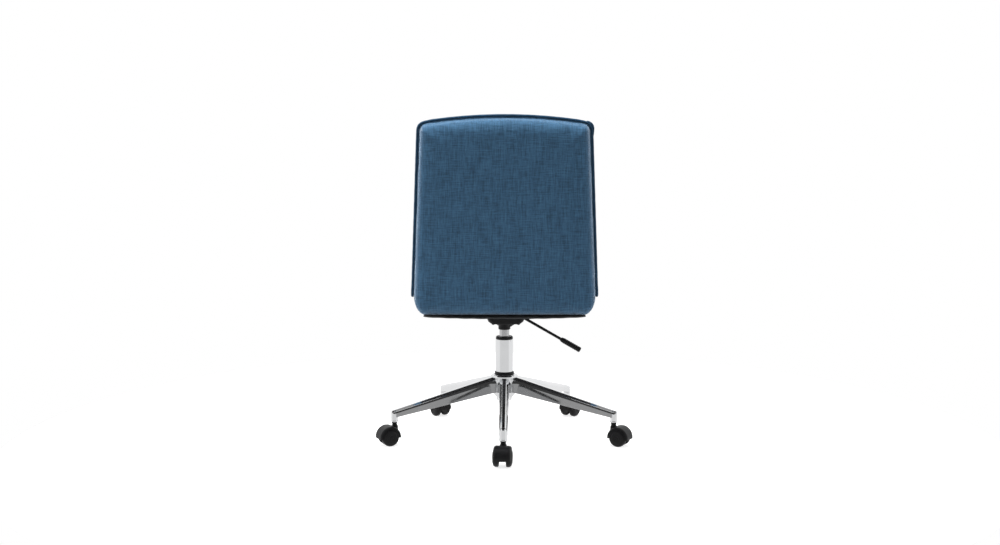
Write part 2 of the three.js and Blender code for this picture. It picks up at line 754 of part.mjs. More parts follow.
function seatPlate() {
  const top = PLATE_BOTTOM_Z + PLATE_THICKNESS;
  const plate = box(-PLATE_HALF_WIDTH, PLATE_HALF_WIDTH, PLATE_FRONT_Y, PLATE_REAR_Y, PLATE_BOTTOM_Z, top);
  const ears = [-1, 1].map((side) => (
    tiltEar(side, TILT_EAR_X, TILT_EAR_X + 3, TILT_Z - 9, PLATE_BOTTOM_Z + 1)
  ));
  const nut = rod(10, vec(0, BOLT_Y, PLATE_BOTTOM_Z - 10), vec(0, BOLT_Y, PLATE_BOTTOM_Z + 1), 6);
  const nutBore = rod(5 + GAP, vec(0, BOLT_Y, PLATE_BOTTOM_Z - 11), vec(0, BOLT_Y, top + 1));
  const holes = boltPlaces().map(([x, y]) => rod(4, vec(x, y, PLATE_BOTTOM_Z - 1), vec(x, y, top + 1), 12));
  return named('seat_plate', cut(join(plate, ...ears, nut), nutBore, tiltBore(), ...holes), blackSteel());
}

function boltPlaces() {
  return SEAT_BOLT_YS.flatMap((y) => [[-SEAT_BOLT_X, y], [SEAT_BOLT_X, y]]);
}

// Hex-headed bolts that hold the seat plate to the seat board.
function seatBolt(number, [x, y]) {
  const head = rod(6.5, vec(0, 0, -5), vec(0, 0, -GAP), 6);
  const shank = rod(3, vec(0, 0, -1), vec(0, 0, 16), 12);
  const bolt = named(`seat_bolt_${number}`, join(head, shank), steel());
  bolt.position.set(x, y, PLATE_BOTTOM_Z);
  return bolt;
}

// ---------------------------------------------------------------- height lever

const leverDirection = vec(-Math.cos(LEVER_DROOP), 0, -Math.sin(LEVER_DROOP));
const leverBend = vec(LEVER_BEND_X, 0, LEVER_Z);

function leverRod() {
  const end = leverBend.clone().addScaledVector(leverDirection, LEVER_LENGTH + 12);
  const inner = rod(LEVER_RADIUS, vec(7, 0, LEVER_Z), leverBend);
  const elbow = new THREE.SphereGeometry(LEVER_RADIUS, 12, 8).translate(...leverBend.toArray());
  const outer = rod(LEVER_RADIUS, leverBend, end);
  const pin = rod(3, vec(LEVER_PIVOT_X, -12, LEVER_Z), vec(LEVER_PIVOT_X, 12, LEVER_Z));
  return named('lever_rod', join(inner, elbow, outer, pin), blackSteel());
}

function leverGrip() {
  const length = GRIP_LENGTH;
  const bore = LEVER_RADIUS + GAP;
  const profile = [
    [bore, 0],
    [LEVER_RADIUS + 2, 0],
    [GRIP_RADIUS, 8],
    [GRIP_RADIUS, length - 3],
    [GRIP_RADIUS - 2.5, length],
    [0, length],
    [0, 13],
    [bore, 13],
  ];
  const grip = named('lever_grip', latheRing(profile, 20), blackPlastic());
  grip.position.copy(leverBend.clone().addScaledVector(leverDirection, LEVER_LENGTH));
  grip.quaternion.setFromUnitVectors(vec(0, 0, 1), leverDirection);
  return grip;
}

// ---------------------------------------------------------------- seat and back

// Rounded corner points between two angles of an ellipse.
function cornerPoints(cx, cy, rx, ry, from, to, count) {
  const points = [];
  for (let i = 0; i <= count; i += 1) {
    const angle = from + ((to - from) * i) / count;
    points.push([cx + rx * Math.cos(angle), cy + ry * Math.sin(angle)]);
  }
  return points;
}

// Half outline of a back piece, mirrored: tapered sides, round corners and a crowned top.
function backOutline(inset, bottom, corner, topDrop = 0) {
  const top = PAD_TOP - inset - topDrop;
  const halfAt = (v) => PAD_HALF_WIDTH - inset - BACK_TAPER * v;
  const radius = Math.max(22 - inset / 2, 8);
  const crownDrop = halfAt(top) ** 2 / (2 * TOP_CROWN_RADIUS);
  const cornerTop = top - crownDrop;
  const right = [
    ...cornerPoints(
      halfAt(bottom) - corner.x,
      bottom + corner.z,
      corner.x,
      corner.z,
      -Math.PI / 2,
      0,
      5,
    ),
    ...cornerPoints(halfAt(cornerTop) - radius, cornerTop - radius + 2, radius, radius, 0, Math.PI * 0.45, 5),
  ];
  for (const share of [0.66, 0.33]) {
    const x = share * (halfAt(top) - radius);
    right.push([x, top - x ** 2 / (2 * TOP_CROWN_RADIUS)]);
  }
  const left = right.map(([x, v]) => [-x, v]).reverse();
  return [...right, [0, top], ...left];
}

// Plan outline of a seat piece: small rear corners and large front ones.
function seatOutline(inset, rearY, frontInset = inset) {
  const half = PAD_HALF_WIDTH - inset;
  const rear = rearY - inset;
  const front = SEAT_FRONT_Y + frontInset;
  const big = Math.max(SEAT_FRONT_CORNER - inset, 12);
  const small = SEAT_REAR_CORNER;
  const right = [
    ...cornerPoints(half - big, front + big, big, big, -Math.PI / 2, 0, 5),
    ...cornerPoints(half - small, rear - small, small, small, 0, Math.PI / 2, 3),
  ];
  const left = right.map(([x, y]) => [-x, y]).reverse();
  return [...right, ...left];
}

const weltClear = WELT_RADIUS + GAP;
const boardFront = SHELL_DEPTH + GAP + BOARD_THICKNESS;

function backShell() {
  const rim = WELT_DEPTH - weltClear;
  const layers = [
    [0, SHELL_INSET + 14],
    [4, SHELL_INSET + 4],
    [13, SHELL_INSET],
    [rim, SHELL_INSET],
    [rim, BOARD_INSET - 2],
    [SHELL_DEPTH, BOARD_INSET - 2],
  ];
  const rings = layers.map(([depth, inset]) => {
    const grown = inset - SHELL_INSET;
    const corner = { x: Math.max(TUCK_WIDTH - grown, 10), z: Math.max(TUCK_HEIGHT - grown, 14) };
    const low = depth === rim || depth === SHELL_DEPTH ? SHELL_BOTTOM + 2 * grown : SHELL_BOTTOM + grown;
    return backOutline(inset, low, corner).map(([x, v]) => vec(x, -depth, v));
  });
  return named('back_shell', loft(rings), blueFabric());
}

function backBoard() {
  const corner = { x: 12, z: 12 };
  const rings = [SHELL_DEPTH + GAP, boardFront].map((depth) => (
    backOutline(BOARD_INSET, 4, corner).map(([x, v]) => vec(x, -depth, v))
  ));
  return named('back_board', loft(rings), plywood());
}

function backPad() {
  const corner = { x: 14, z: 14 };
  const plug = boardFront + GAP;
  const face = WELT_DEPTH + weltClear;
  const layers = [
    [plug, 15],
    [face, 15],
    [face, 1],
    [face + 6, 0],
    [face + 26, 0],
    [face + 40, 8],
    [face + 48, 26],
    [face + 51, 70],
  ];
  const rings = layers.map(([depth, inset]) => {
    const topDrop = Math.max(depth - face, 0) * PAD_TOP_SLOPE;
    const outline = backOutline(inset, PAD_BOTTOM + inset * PAD_BOTTOM_SLOPE, corner, topDrop);
    return outline.map(([x, v]) => vec(x, -depth, v));
  });
  return named('back_pad', loft(rings), blueFabric());
}

// Everything drawn in the leaning plane of the back.
function backGroup() {
  const back = group(backShell(), backBoard(), backPad());
  back.position.set(0, REAR_Y, SEAM_Z);
  back.rotation.x = -LEAN;
  return back;
}

// A point of the back in the chair's own frame.
function backPoint(x, v, depth) {
  return vec(
    x,
    REAR_Y + v * Math.sin(LEAN) - depth * Math.cos(LEAN),
    SEAM_Z + v * Math.cos(LEAN) + depth * Math.sin(LEAN),
  );
}

// Where a plane at some depth inside the back stands at a height.
function backY(z, depth) {
  return REAR_Y + (z - SEAM_Z) * Math.tan(LEAN) - depth / Math.cos(LEAN);
}

function bracketOutline(clearance) {
  const boardTop = SEAT_BOTTOM_Z + 1 + BOARD_THICKNESS;
  const low = boardTop + GAP - clearance;
  const high = boardTop + GAP + BRACKET_THICKNESS + clearance;
  const top = SEAT_TOP_Z - 4;
  const rear = boardFront + GAP - clearance;
  const front = boardFront + GAP + BRACKET_THICKNESS + clearance;
  return [
    [115 - clearance, low],
    [backY(low, rear), low],
    [backY(top, rear), top],
    [backY(top, front), top],
    [backY(high, front), high],
    [115 - clearance, high],
  ];
}

function bracket(name, side, clearance = 0) {
  const half = BRACKET_WIDTH / 2 + clearance;
  const solid = barYZ(bracketOutline(clearance), side * BRACKET_X - half, side * BRACKET_X + half);
  return named(name, solid, steel());
}

// The upholstered box under the seat cushion: its sides curve in to the bottom, which is open for the
// seat board.
function seatShell() {
  const pocket = SEAT_BOARD_INSET - 4;
  const ceiling = SEAT_BOTTOM_Z + BOARD_THICKNESS + 2;
  const tuck = cornerPoints(
    SHELL_INSET + TUCK_WIDTH,
    SEAT_BOTTOM_Z + TUCK_HEIGHT,
    -TUCK_WIDTH,
    -TUCK_HEIGHT,
    Math.PI / 2,
    0,
    5,
  ).map(([inset, z]) => [z, inset]);
  const layers = [[ceiling, pocket], [SEAT_BOTTOM_Z, pocket], ...tuck, [SEAM_Z - GAP, SHELL_INSET]];
  const rings = layers.map(([z, inset]) => {
    const rear = SEAT_SHELL_REAR_Y + SHELL_INSET;
    return seatOutline(inset, rear).map(([x, y]) => vec(x, y, z));
  });
  const room = [-1, 1].map((side) => bracket('room', side, 0.5).geometry);
  return named('seat_shell', cut(loft(rings), ...room), blueFabric());
}

function seatBoard() {
  const bottom = SEAT_BOTTOM_Z + 1;
  const rings = [bottom, bottom + BOARD_THICKNESS].map((z) => (
    seatOutline(SEAT_BOARD_INSET, SEAT_SHELL_REAR_Y + SHELL_INSET).map(([x, y]) => vec(x, y, z))
  ));
  const holes = boltPlaces().map(([x, y]) => rod(3 + GAP, vec(x, y, bottom - 1), vec(x, y, bottom + 20), 12));
  return named('seat_board', cut(loft(rings), ...holes), plywood());
}

// Plan outline of the seat cushion, with its tongue between the welts.
function seatPadOutline(inset, frontInset, rear) {
  const outline = seatOutline(inset, SEAT_REAR_Y + inset, frontInset);
  const tongue = Math.min(TONGUE_HALF_WIDTH, PAD_HALF_WIDTH - inset - SEAT_REAR_CORNER - 1);
  const tip = [[tongue, SEAT_REAR_Y], [tongue, rear], [-tongue, rear], [-tongue, SEAT_REAR_Y]];
  const middle = outline.length / 2;
  return [...outline.slice(0, middle), ...tip, ...outline.slice(middle)];
}

// The layers are [height, inset of the outline, inset of its front edge, inset of its rear edge].
function seatPad() {
  const face = WELT_SEAT_Z + weltClear;
  const layers = [
    [SEAM_Z, 15, 15, 0],
    [face, 15, 15, 0],
    [face, 1, 1, 0],
    [face + 6, 0, 0, 0],
    [face + 24, 0, 4, 0],
    [face + 37, 7, 20, 0],
    [SEAT_TOP_Z - 3, 24, 48, 3],
    [SEAT_TOP_Z, 70, 110, 9],
  ];
  const bracketFront = boardFront + GAP + BRACKET_THICKNESS;
  const rings = layers.map(([z, inset, frontInset, rearInset]) => {
    const rear = backY(z, bracketFront + GAP) - rearInset;
    return seatPadOutline(inset, frontInset, rear).map(([x, y]) => vec(x, y, z));
  });
  return named('seat_pad', loft(rings), blueFabric());
}

// Thin cloth stapled under the seat and the foot of the back, with holes for the bolts.
function dustCover() {
  const top = SEAT_BOTTOM_Z - GAP;
  const rings = [top - 1.2, top].map((z) => (
    seatOutline(DUST_COVER_INSET, DUST_COVER_REAR_Y + DUST_COVER_INSET).map(([x, y]) => vec(x, y, z))
  ));
  const holes = boltPlaces().map(([x, y]) => rod(4, vec(x, y, top - 3), vec(x, y, top + 1), 12));
  return named('dust_cover', cut(loft(rings), ...holes), blackCloth());
}

// Corded edge round the L-shaped cushion: over the back, down its sides and round the seat.
function weltPath() {
  const corner = 10;
  const side = PAD_HALF_WIDTH - WELT_INSET;
  const turnY = backY(WELT_SEAT_Z + corner, WELT_DEPTH);
  const topOfBack = backOutline(WELT_INSET, 40, { x: 1, z: 1 })
    .filter(([x, v]) => x >= 0 && v > 60)
    .map(([x, v]) => backPoint(x, v, WELT_DEPTH));
  const sideOfBack = [160, 300].map((v) => backPoint(side - BACK_TAPER * v, v, WELT_DEPTH));
  const turn = cornerPoints(turnY - corner, WELT_SEAT_Z + corner, corner, corner, -Math.PI / 2, 0, 4)
    .map(([y, z]) => vec(side, y, z));
  const front = seatOutline(WELT_INSET, SEAT_REAR_Y)
    .filter(([x, y]) => x > 0 && y < 0)
    .map(([x, y]) => vec(x, y, WELT_SEAT_Z));
  const sideOfSeat = vec(side, 0, WELT_SEAT_Z);
  const right = [...front, sideOfSeat, ...turn, ...sideOfBack, ...topOfBack];
  const left = right.filter((point) => point.x > 0.1).map((point) => vec(-point.x, point.y, point.z));
  return [...right, ...left.reverse()];
}

function welt() {
  return named('welt', tube(weltPath(), WELT_RADIUS, 6, true), navyFabric());
}

// ---------------------------------------------------------------- the chair

const chair = new THREE.Group();

chair.add(baseHub(), columnCollar(), outerTube(), guideRing());
for (let i = 0; i < ARM_COUNT; i += 1) {
  const angle = FIRST_ARM_ANGLE + i * ARM_STEP;
  chair.add(baseArm(i + 1, angle), caster(i + 1, angle));
}
chair.add(pistonRod(), thrustBearing(), retainingClip());
chair.add(gasCylinder(), valvePin(), housing(), tiltPin(), tensionSpring(), tensionKnob());
chair.add(leverRod(), leverGrip());
chair.add(seatPlate(), ...boltPlaces().map((place, i) => seatBolt(i + 1, place)));
chair.add(seatBoard(), bracket('corner_bracket_left', 1), bracket('corner_bracket_right', -1));
chair.add(seatShell(), seatPad(), dustCover(), welt(), backGroup());

export default chair;
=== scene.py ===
"""Armless swivel office chair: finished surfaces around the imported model.

Metres, +Z up. The sitter faces -Y, so the camera at +Y sees the chair from behind.
"""

import json
import math

import bmesh
import bpy
import numpy as np
from mathutils import Matrix, Vector
from mathutils.bvhtree import BVHTree


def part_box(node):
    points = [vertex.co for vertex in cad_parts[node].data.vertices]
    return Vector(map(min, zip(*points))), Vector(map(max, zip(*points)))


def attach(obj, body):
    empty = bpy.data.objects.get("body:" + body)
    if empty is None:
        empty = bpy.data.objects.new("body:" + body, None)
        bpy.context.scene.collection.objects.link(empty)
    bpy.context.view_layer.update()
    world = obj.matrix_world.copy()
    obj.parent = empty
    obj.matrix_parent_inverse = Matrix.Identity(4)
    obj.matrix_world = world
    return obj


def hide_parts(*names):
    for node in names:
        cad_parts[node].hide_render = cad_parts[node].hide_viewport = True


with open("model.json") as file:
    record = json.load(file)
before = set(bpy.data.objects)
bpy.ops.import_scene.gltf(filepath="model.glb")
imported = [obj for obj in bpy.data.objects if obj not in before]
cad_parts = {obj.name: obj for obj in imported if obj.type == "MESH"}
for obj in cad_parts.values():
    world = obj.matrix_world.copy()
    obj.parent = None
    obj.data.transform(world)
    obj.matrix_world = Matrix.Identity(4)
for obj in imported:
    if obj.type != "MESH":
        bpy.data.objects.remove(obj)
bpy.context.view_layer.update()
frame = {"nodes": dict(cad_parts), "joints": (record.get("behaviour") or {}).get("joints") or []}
joints = {joint["name"]: joint for joint in frame["joints"]}

# ---------------------------------------------------------------- driving dimensions

CASTER_NUMBERS = range(1, 6)
SEAT_BOLT_NUMBERS = range(1, 5)

stem_places = [Vector(joints[f"caster_{i}_swivel"]["pos_m"]).xy for i in CASTER_NUMBERS]
wheel_places = [Vector(joints[f"caster_{i}_left_roll"]["pos_m"]).xy for i in CASTER_NUMBERS]
star_radius = stem_places[0].length
wheel_centre_z = joints["caster_1_left_roll"]["pos_m"][2]
caster_trail = (wheel_places[0] - stem_places[0]).length

LEAN = math.radians(6)
BACK_TAPER = 0.0444  # half width lost per metre of height
REAR_Y = 0.250  # rear face of the back, at the height of the seam
seam_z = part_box("seat_pad")[0].z
pad_half_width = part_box("seat_pad")[1].x
PAD_TOP = 0.4887  # up the leaning back, from the seam
TOP_CROWN_RADIUS = 1.36
TOP_CORNER_RADIUS = 0.020
WELT_RADIUS = 0.0040
WELT_INSET = 0.0045  # of the cord's centre, from the cushions' outline
WELT_DEPTH = 0.034  # of the cord's centre, from the rear face
SHELL_INSET = 0.009  # of the rear shell, from the cushions' outline
TUCK_WIDTH = 0.028  # of the pleated lower corners of the shell
TUCK_HEIGHT = 0.044
SEAT_FRONT_CORNER = 0.050
BOXING_DROP = 0.020  # from the seat's top to the seam round its side
BACK_CHANNELS = (0.185, 0.315)  # heights of the sewn channels, up from the seam
STITCH_STEP = 0.0052
STITCH_LENGTH = 0.0036
THREAD_RADIUS = 0.0004
DUST_CLOTH = 0.0006  # thickness

VOXEL = 0.006
CLOTH_FRAMES = 20


# ---------------------------------------------------------------- shapes: lists of points and faces


def moved(shape, matrix):
    return [matrix @ Vector(point) for point in shape[0]], shape[1]


def combined(*shapes):
    points, faces = [], []
    for shape_points, shape_faces in shapes:
        first = len(points)
        points += shape_points
        faces += [[first + i for i in face] for face in shape_faces]
    return points, faces


def rounded(corners, closed=True, steps=4):
    """An outline from corners (x, y, radius), each turned into an arc of its radius."""
    outline = []
    count = len(corners)
    for i, (x, y, radius) in enumerate(corners):
        here = Vector((x, y))
        if radius == 0 or (not closed and i in (0, count - 1)):
            outline.append(here)
            continue
        back = (Vector(corners[i - 1][:2]) - here).normalized()
        ahead = (Vector(corners[(i + 1) % count][:2]) - here).normalized()
        half = back.angle(ahead) / 2
        if half > math.radians(88):
            outline += [here] * (steps + 1)
            continue
        centre = here + (back + ahead).normalized() * radius / math.sin(half)
        start = here + back * radius / math.tan(half) - centre
        end = here + ahead * radius / math.tan(half) - centre
        sweep = start.angle_signed(end)
        for k in range(steps + 1):
            outline.append(centre + Matrix.Rotation(-sweep * k / steps, 2) @ start)
    return outline


def loft(rings, closed=False):
    """Skin over rings of points. An open loft is capped at both ends, a closed one joins on."""
    count = len(rings[0])
    points = [Vector(point) for ring in rings for point in ring]
    faces = []
    for i in range(len(rings) if closed else len(rings) - 1):
        low, high = i * count, (i + 1) % len(rings) * count
        for j in range(count):
            after = (j + 1) % count
            faces.append([low + j, low + after, high + after, high + j])
    if not closed:
        last = len(points) - count
        faces.append(list(reversed(range(count))))
        faces.append([last + j for j in range(count)])
    return points, faces


def circle(radius, count, z=0.0):
    turns = [2 * math.pi * j / count for j in range(count)]
    return [Vector((radius * math.cos(a), radius * math.sin(a), z)) for a in turns]


def lathe(corners, segments=64, closed=True, steps=4):
    """A solid of revolution about Z from corners (radius, height, rounding)."""
    profile = rounded(corners, closed, steps)
    rings = [circle(max(r, 1e-5), segments, z) for r, z in profile]
    return loft(rings, closed)


def prism(outline, thickness):
    """A flat piece drawn in the X-Y plane and spread evenly about Z = 0."""
    half = thickness / 2
    return loft([[(x, y, z) for x, y in outline] for z in (-half, half)])


def carried_frames(path, closed):
    """A pair of directions across the path at each point, carried along without twist."""
    count = len(path)
    tangents = []
    for i in range(count):
        before = path[i - 1] if closed or i else path[0]
        after = path[(i + 1) % count] if closed or i < count - 1 else path[-1]
        tangents.append((after - before).normalized())
    start = Vector((0, 0, 1)) if abs(tangents[0].z) < 0.9 else Vector((1, 0, 0))
    normals = []
    for tangent in tangents:
        start = (start - tangent * start.dot(tangent)).normalized()
        normals.append(start)
    return [(normal, tangent.cross(normal)) for normal, tangent in zip(normals, tangents)]


def sweep(path, radius, sides=12, closed=False):
    """A round tube along a path. The radius is a number, or a function of the share of the way."""
    rings = []
    for i, (normal, across) in enumerate(carried_frames(path, closed)):
        r = radius(i / (len(path) - 1)) if callable(radius) else radius
        turns = [2 * math.pi * j / sides for j in range(sides)]
        rings.append([path[i] + normal * r * math.cos(a) + across * r * math.sin(a) for a in turns])
    return loft(rings, closed)


def rod(radius, start, end, segments=32, edge=0.0004):
    """A round bar with softly rounded ends."""
    start, end = Vector(start), Vector(end)
    length = (end - start).length
    bar = lathe([(0, 0, 0), (radius, 0, edge), (radius, length, edge), (0, length, 0)], segments, False)
    turn = (end - start).to_track_quat("Z", "Y").to_matrix().to_4x4()
    return moved(bar, Matrix.Translation(start) @ turn)


def along_x(shape):
    """Turns a shape drawn about Z so that its axis points along X."""
    return moved(shape, Matrix.Rotation(math.pi / 2, 4, "Y"))


def block(low, high, radius=0.001):
    """A box with rounded upright edges."""
    (x0, y0, z0), (x1, y1, z1) = low, high
    outline = rounded([(x0, y0, radius), (x1, y0, radius), (x1, y1, radius), (x0, y1, radius)])
    return loft([[(x, y, z) for x, y in outline] for z in (z0, z1)])


# ---------------------------------------------------------------- objects


def mesh_of(shape):
    mesh = bpy.data.meshes.new("shape")
    mesh.from_pydata([tuple(point) for point in shape[0]], [], shape[1])
    work = bmesh.new()
    work.from_mesh(mesh)
    bmesh.ops.remove_doubles(work, verts=work.verts, dist=5e-6)
    bmesh.ops.recalc_face_normals(work, faces=work.faces)
    work.to_mesh(mesh)
    work.free()
    return mesh


def joined(*meshes):
    """One mesh that holds all of these."""
    work = bmesh.new()
    for mesh in meshes:
        work.from_mesh(mesh)
    whole = bpy.data.meshes.new("joined")
    work.to_mesh(whole)
    work.free()
    return whole


def linked(name, mesh):
    obj = bpy.data.objects.new(name, mesh)
    bpy.context.scene.collection.objects.link(obj)
    return obj


def settled(obj):
    """The object with its modifiers made part of its mesh."""
    graph = bpy.context.evaluated_depsgraph_get()
    obj.data = bpy.data.meshes.new_from_object(obj.evaluated_get(graph))
    obj.modifiers.clear()
    return obj


def piece(name, mesh, look, body, *nodes, sharp=35):
    """A finished piece: named, smoothly shaded, riding on its body and standing for its CAD nodes."""
    obj = linked(name, mesh)
    mesh.materials.clear()
    mesh.materials.append(look)
    mesh.shade_smooth()
    mesh.set_sharp_from_angle(angle=math.radians(sharp))
    weighted = obj.modifiers.new("flat_faces", "WEIGHTED_NORMAL")
    weighted.keep_sharp = True
    settled(obj)
    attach(obj, body)
    if nodes:
        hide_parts(*nodes)
    return obj


def turned(name, corners, look, body, *nodes, segments=96, closed=True):
    """A piece turned about Z from its corners (radius, height, rounding)."""
    piece(name, mesh_of(lathe(corners, segments, closed)), look, body, *nodes)


def beveled(shape, width, segments=2):
    """A mesh of the shape with its sharp edges softened."""
    obj = linked("work", mesh_of(shape))
    bevel = obj.modifiers.new("bevel", "BEVEL")
    bevel.width = width
    bevel.segments = segments
    bevel.limit_method = "ANGLE"
    bevel.angle_limit = math.radians(40)
    mesh = settled(obj).data
    bpy.data.objects.remove(obj)
    return mesh


def cut_out(mesh, *cutters):
    """The mesh with each cutter's shape taken out of it."""
    obj = linked("work", mesh)
    tools = [linked("cutter", mesh_of(cutter)) for cutter in cutters]
    for tool in tools:
        boolean = obj.modifiers.new("cut", "BOOLEAN")
        boolean.operation = "DIFFERENCE"
        boolean.solver = "EXACT"
        boolean.object = tool
    result = settled(obj).data
    for work in [obj, *tools]:
        bpy.data.objects.remove(work)
    return result


# ---------------------------------------------------------------- materials


class Look:
    """A material being built from nodes around one Principled shader."""

    def __init__(self, name, roughness, metallic=0.0, **fixed):
        self.material = bpy.data.materials.new(name)
        self.material.use_nodes = True
        self.tree = self.material.node_tree
        self.shader = self.tree.nodes["Principled BSDF"]
        self.set("Roughness", roughness)
        self.set("Metallic", metallic)
        for socket, value in fixed.items():
            self.set(socket.replace("_", " ").title().replace("Ior", "IOR"), value)

    def set(self, socket, value):
        self.join(self.shader.inputs[socket], value)

    def join(self, socket, value):
        if isinstance(value, bpy.types.NodeSocket):
            self.tree.links.new(value, socket)
        else:
            socket.default_value = value

    def node(self, kind, **settings):
        node = self.tree.nodes.new(f"ShaderNode{kind}")
        for key, value in settings.items():
            setattr(node, key, value)
        return node

    def math(self, operation, *values):
        node = self.node("Math", operation=operation)
        for socket, value in zip(node.inputs, values):
            self.join(socket, value)
        return node.outputs[0]

    def coordinates(self, kind="Object"):
        """X, Y and Z of the place on the object in metres, or of its normal."""
        split = self.node("SeparateXYZ")
        self.join(split.inputs[0], self.node("TexCoord").outputs[kind])
        return split.outputs

    def vector(self, x, y, z):
        node = self.node("CombineXYZ")
        for socket, value in zip(node.inputs, (x, y, z)):
            self.join(socket, value)
        return node.outputs[0]

    def stretched(self, x, y, z, scales):
        return self.vector(*(self.math("MULTIPLY", v, s) for v, s in zip((x, y, z), scales)))

    def noise(self, vector=None, scale=1.0, detail=2.0, roughness=0.5):
        node = self.node("TexNoise")
        self.join(node.inputs["Vector"], vector or self.node("TexCoord").outputs["Object"])
        self.join(node.inputs["Scale"], scale)
        self.join(node.inputs["Detail"], detail)
        self.join(node.inputs["Roughness"], roughness)
        return node.outputs[0]

    def spread(self, value, low, high, start=0.3, end=0.7):
        """The value's run from start to end spread over low to high."""
        node = self.node("MapRange")
        for socket, number in zip(node.inputs, (value, start, end, low, high)):
            self.join(socket, number)
        return node.outputs[0]

    def ramp(self, value, *stops):
        node = self.node("ValToRGB")
        elements = node.color_ramp.elements
        while len(elements) < len(stops):
            elements.new(0.5)
        for element, (place, color) in zip(elements, stops):
            element.position = place
            element.color = (*color, 1)
        self.join(node.inputs[0], value)
        return node.outputs[0]

    def bump(self, height, distance, strength=1.0):
        node = self.node("Bump")
        self.join(node.inputs["Height"], height)
        self.join(node.inputs["Distance"], distance)
        self.join(node.inputs["Strength"], strength)
        self.set("Normal", node.outputs[0])


def shade(color, factor):
    return tuple(channel * factor for channel in color)


def cloth_plane(look):
    """Two directions along the cloth, picked by which way the surface faces."""
    x, y, z = look.coordinates()
    nx, ny, nz = (look.math("ABSOLUTE", n) for n in look.coordinates("Normal"))
    sideways = look.math("GREATER_THAN", nx, look.math("MAXIMUM", ny, nz))
    upward = look.math("GREATER_THAN", nz, look.math("MAXIMUM", nx, ny))
    u = look.math("MULTIPLY_ADD", sideways, look.math("SUBTRACT", y, x), x)
    v = look.math("MULTIPLY_ADD", upward, look.math("SUBTRACT", y, z), z)
    return u, v


def linen(name, color, contrast, sheen):
    """Plain-weave linen: crossing threads with thick and thin runs, mottled, with a soft nap."""
    look = Look(name, 0.92, specular_ior_level=0.2, sheen_weight=sheen, sheen_roughness=0.35)
    look.set("Sheen Tint", (*(0.35 + 2.0 * channel for channel in color), 1))
    u, v = cloth_plane(look)

    def runs(along, across, seed):
        weft = look.noise(look.stretched(u, v, seed, (along, across, 1)), detail=2)
        warp = look.noise(look.stretched(u, v, seed + 3.7, (across, along, 1)), detail=2)
        return look.math("ADD", weft, warp)

    pitch = 2 * math.pi / 0.0016
    threads = look.math(
        "MULTIPLY",
        look.math("SINE", look.math("MULTIPLY", u, pitch)),
        look.math("SINE", look.math("MULTIPLY", v, pitch)),
    )
    coarse = runs(28.0, 400.0, 0.0)
    fine = runs(95.0, 1100.0, 9.1)
    mottle = look.noise(scale=9.0, detail=2)
    mixed = look.math("MULTIPLY_ADD", fine, 0.55, coarse)
    mixed = look.math("MULTIPLY_ADD", mottle, 0.06, mixed)
    mixed = look.math("MULTIPLY_ADD", threads, 0.05, mixed)
    tone = look.spread(mixed, 0.0, 1.0, 1.20, 1.96)
    dark, light = shade(color, 1 - contrast), shade(color, 1 + contrast)
    look.set("Base Color", look.ramp(tone, (0.0, dark), (0.5, color), (1.0, light)))
    look.bump(look.math("MULTIPLY_ADD", threads, 0.3, mixed), 0.0007, 0.6)
    return look.material


def polished_chrome():
    look = Look("polished_chrome", 0.06, 1.0)
    tint = look.ramp(look.noise(scale=9.0), (0.3, (0.80, 0.81, 0.82)), (0.7, (0.87, 0.87, 0.88)))
    look.set("Base Color", tint)
    look.set("Roughness", look.spread(look.noise(scale=35.0, detail=4), 0.035, 0.10))
    look.bump(look.noise(scale=60.0), 0.00006, 0.3)
    return look.material


def brushed_metal(name, color, roughness):
    """Turned or ground steel with fine marks round its long axis."""
    look = Look(name, roughness, 1.0)
    x, y, z = look.coordinates()
    marks = look.noise(look.stretched(x, y, z, (60.0, 60.0, 2600.0)), detail=3)
    look.set("Base Color", look.ramp(marks, (0.3, shade(color, 0.86)), (0.7, shade(color, 1.1))))
    look.set("Roughness", look.spread(marks, roughness - 0.06, roughness + 0.08))
    look.bump(marks, 0.00004, 0.4)
    return look.material


def moulded_plastic(name, color, roughness, grain):
    """Injection-moulded plastic with a fine spark-eroded grain and light scuffs."""
    look = Look(name, roughness, specular_ior_level=0.22)
    scuffs = look.noise(scale=70.0, detail=5, roughness=0.65)
    look.set("Base Color", look.ramp(scuffs, (0.35, color), (0.75, shade(color, 1.6))))
    look.set("Roughness", look.spread(scuffs, roughness - 0.06, roughness + 0.1))
    look.bump(look.noise(scale=grain, detail=2), 0.00012, 0.5)
    return look.material


def painted_steel():
    """Black powder coat with orange peel, rubbed lighter along its edges."""
    look = Look("black_powder_coat", 0.42, specular_ior_level=0.22)
    rubbed = look.node("NewGeometry").outputs["Pointiness"]
    edges = look.spread(rubbed, 0.0, 1.0, 0.52, 0.60)
    speckle = look.noise(scale=120.0, detail=4, roughness=0.7)
    worn = look.math("MULTIPLY", edges, look.spread(speckle, 0.2, 1.0))
    look.set("Base Color", look.ramp(worn, (0.0, (0.0055, 0.0055, 0.006)), (1.0, (0.035, 0.035, 0.036))))
    look.set("Roughness", look.spread(look.noise(scale=40.0), 0.34, 0.5))
    look.bump(look.noise(scale=900.0, detail=2), 0.00015, 0.5)
    return look.material


def felt_cloth():
    """Spun-bonded cloth with its grid of small bonded dots."""
    look = Look("dust_cloth", 0.95, specular_ior_level=0.15, sheen_weight=0.15)
    x, y, _ = look.coordinates()
    pitch = 2 * math.pi / 0.003
    dots = look.math(
        "MULTIPLY",
        look.math("SINE", look.math("MULTIPLY", x, pitch)),
        look.math("SINE", look.math("MULTIPLY", y, pitch)),
    )
    fibres = look.noise(scale=700.0, detail=4)
    look.set("Base Color", look.ramp(fibres, (0.3, (0.005, 0.005, 0.006)), (0.7, (0.014, 0.014, 0.015))))
    look.bump(look.math("MULTIPLY_ADD", dots, 0.4, fibres), 0.0003, 0.7)
    return look.material


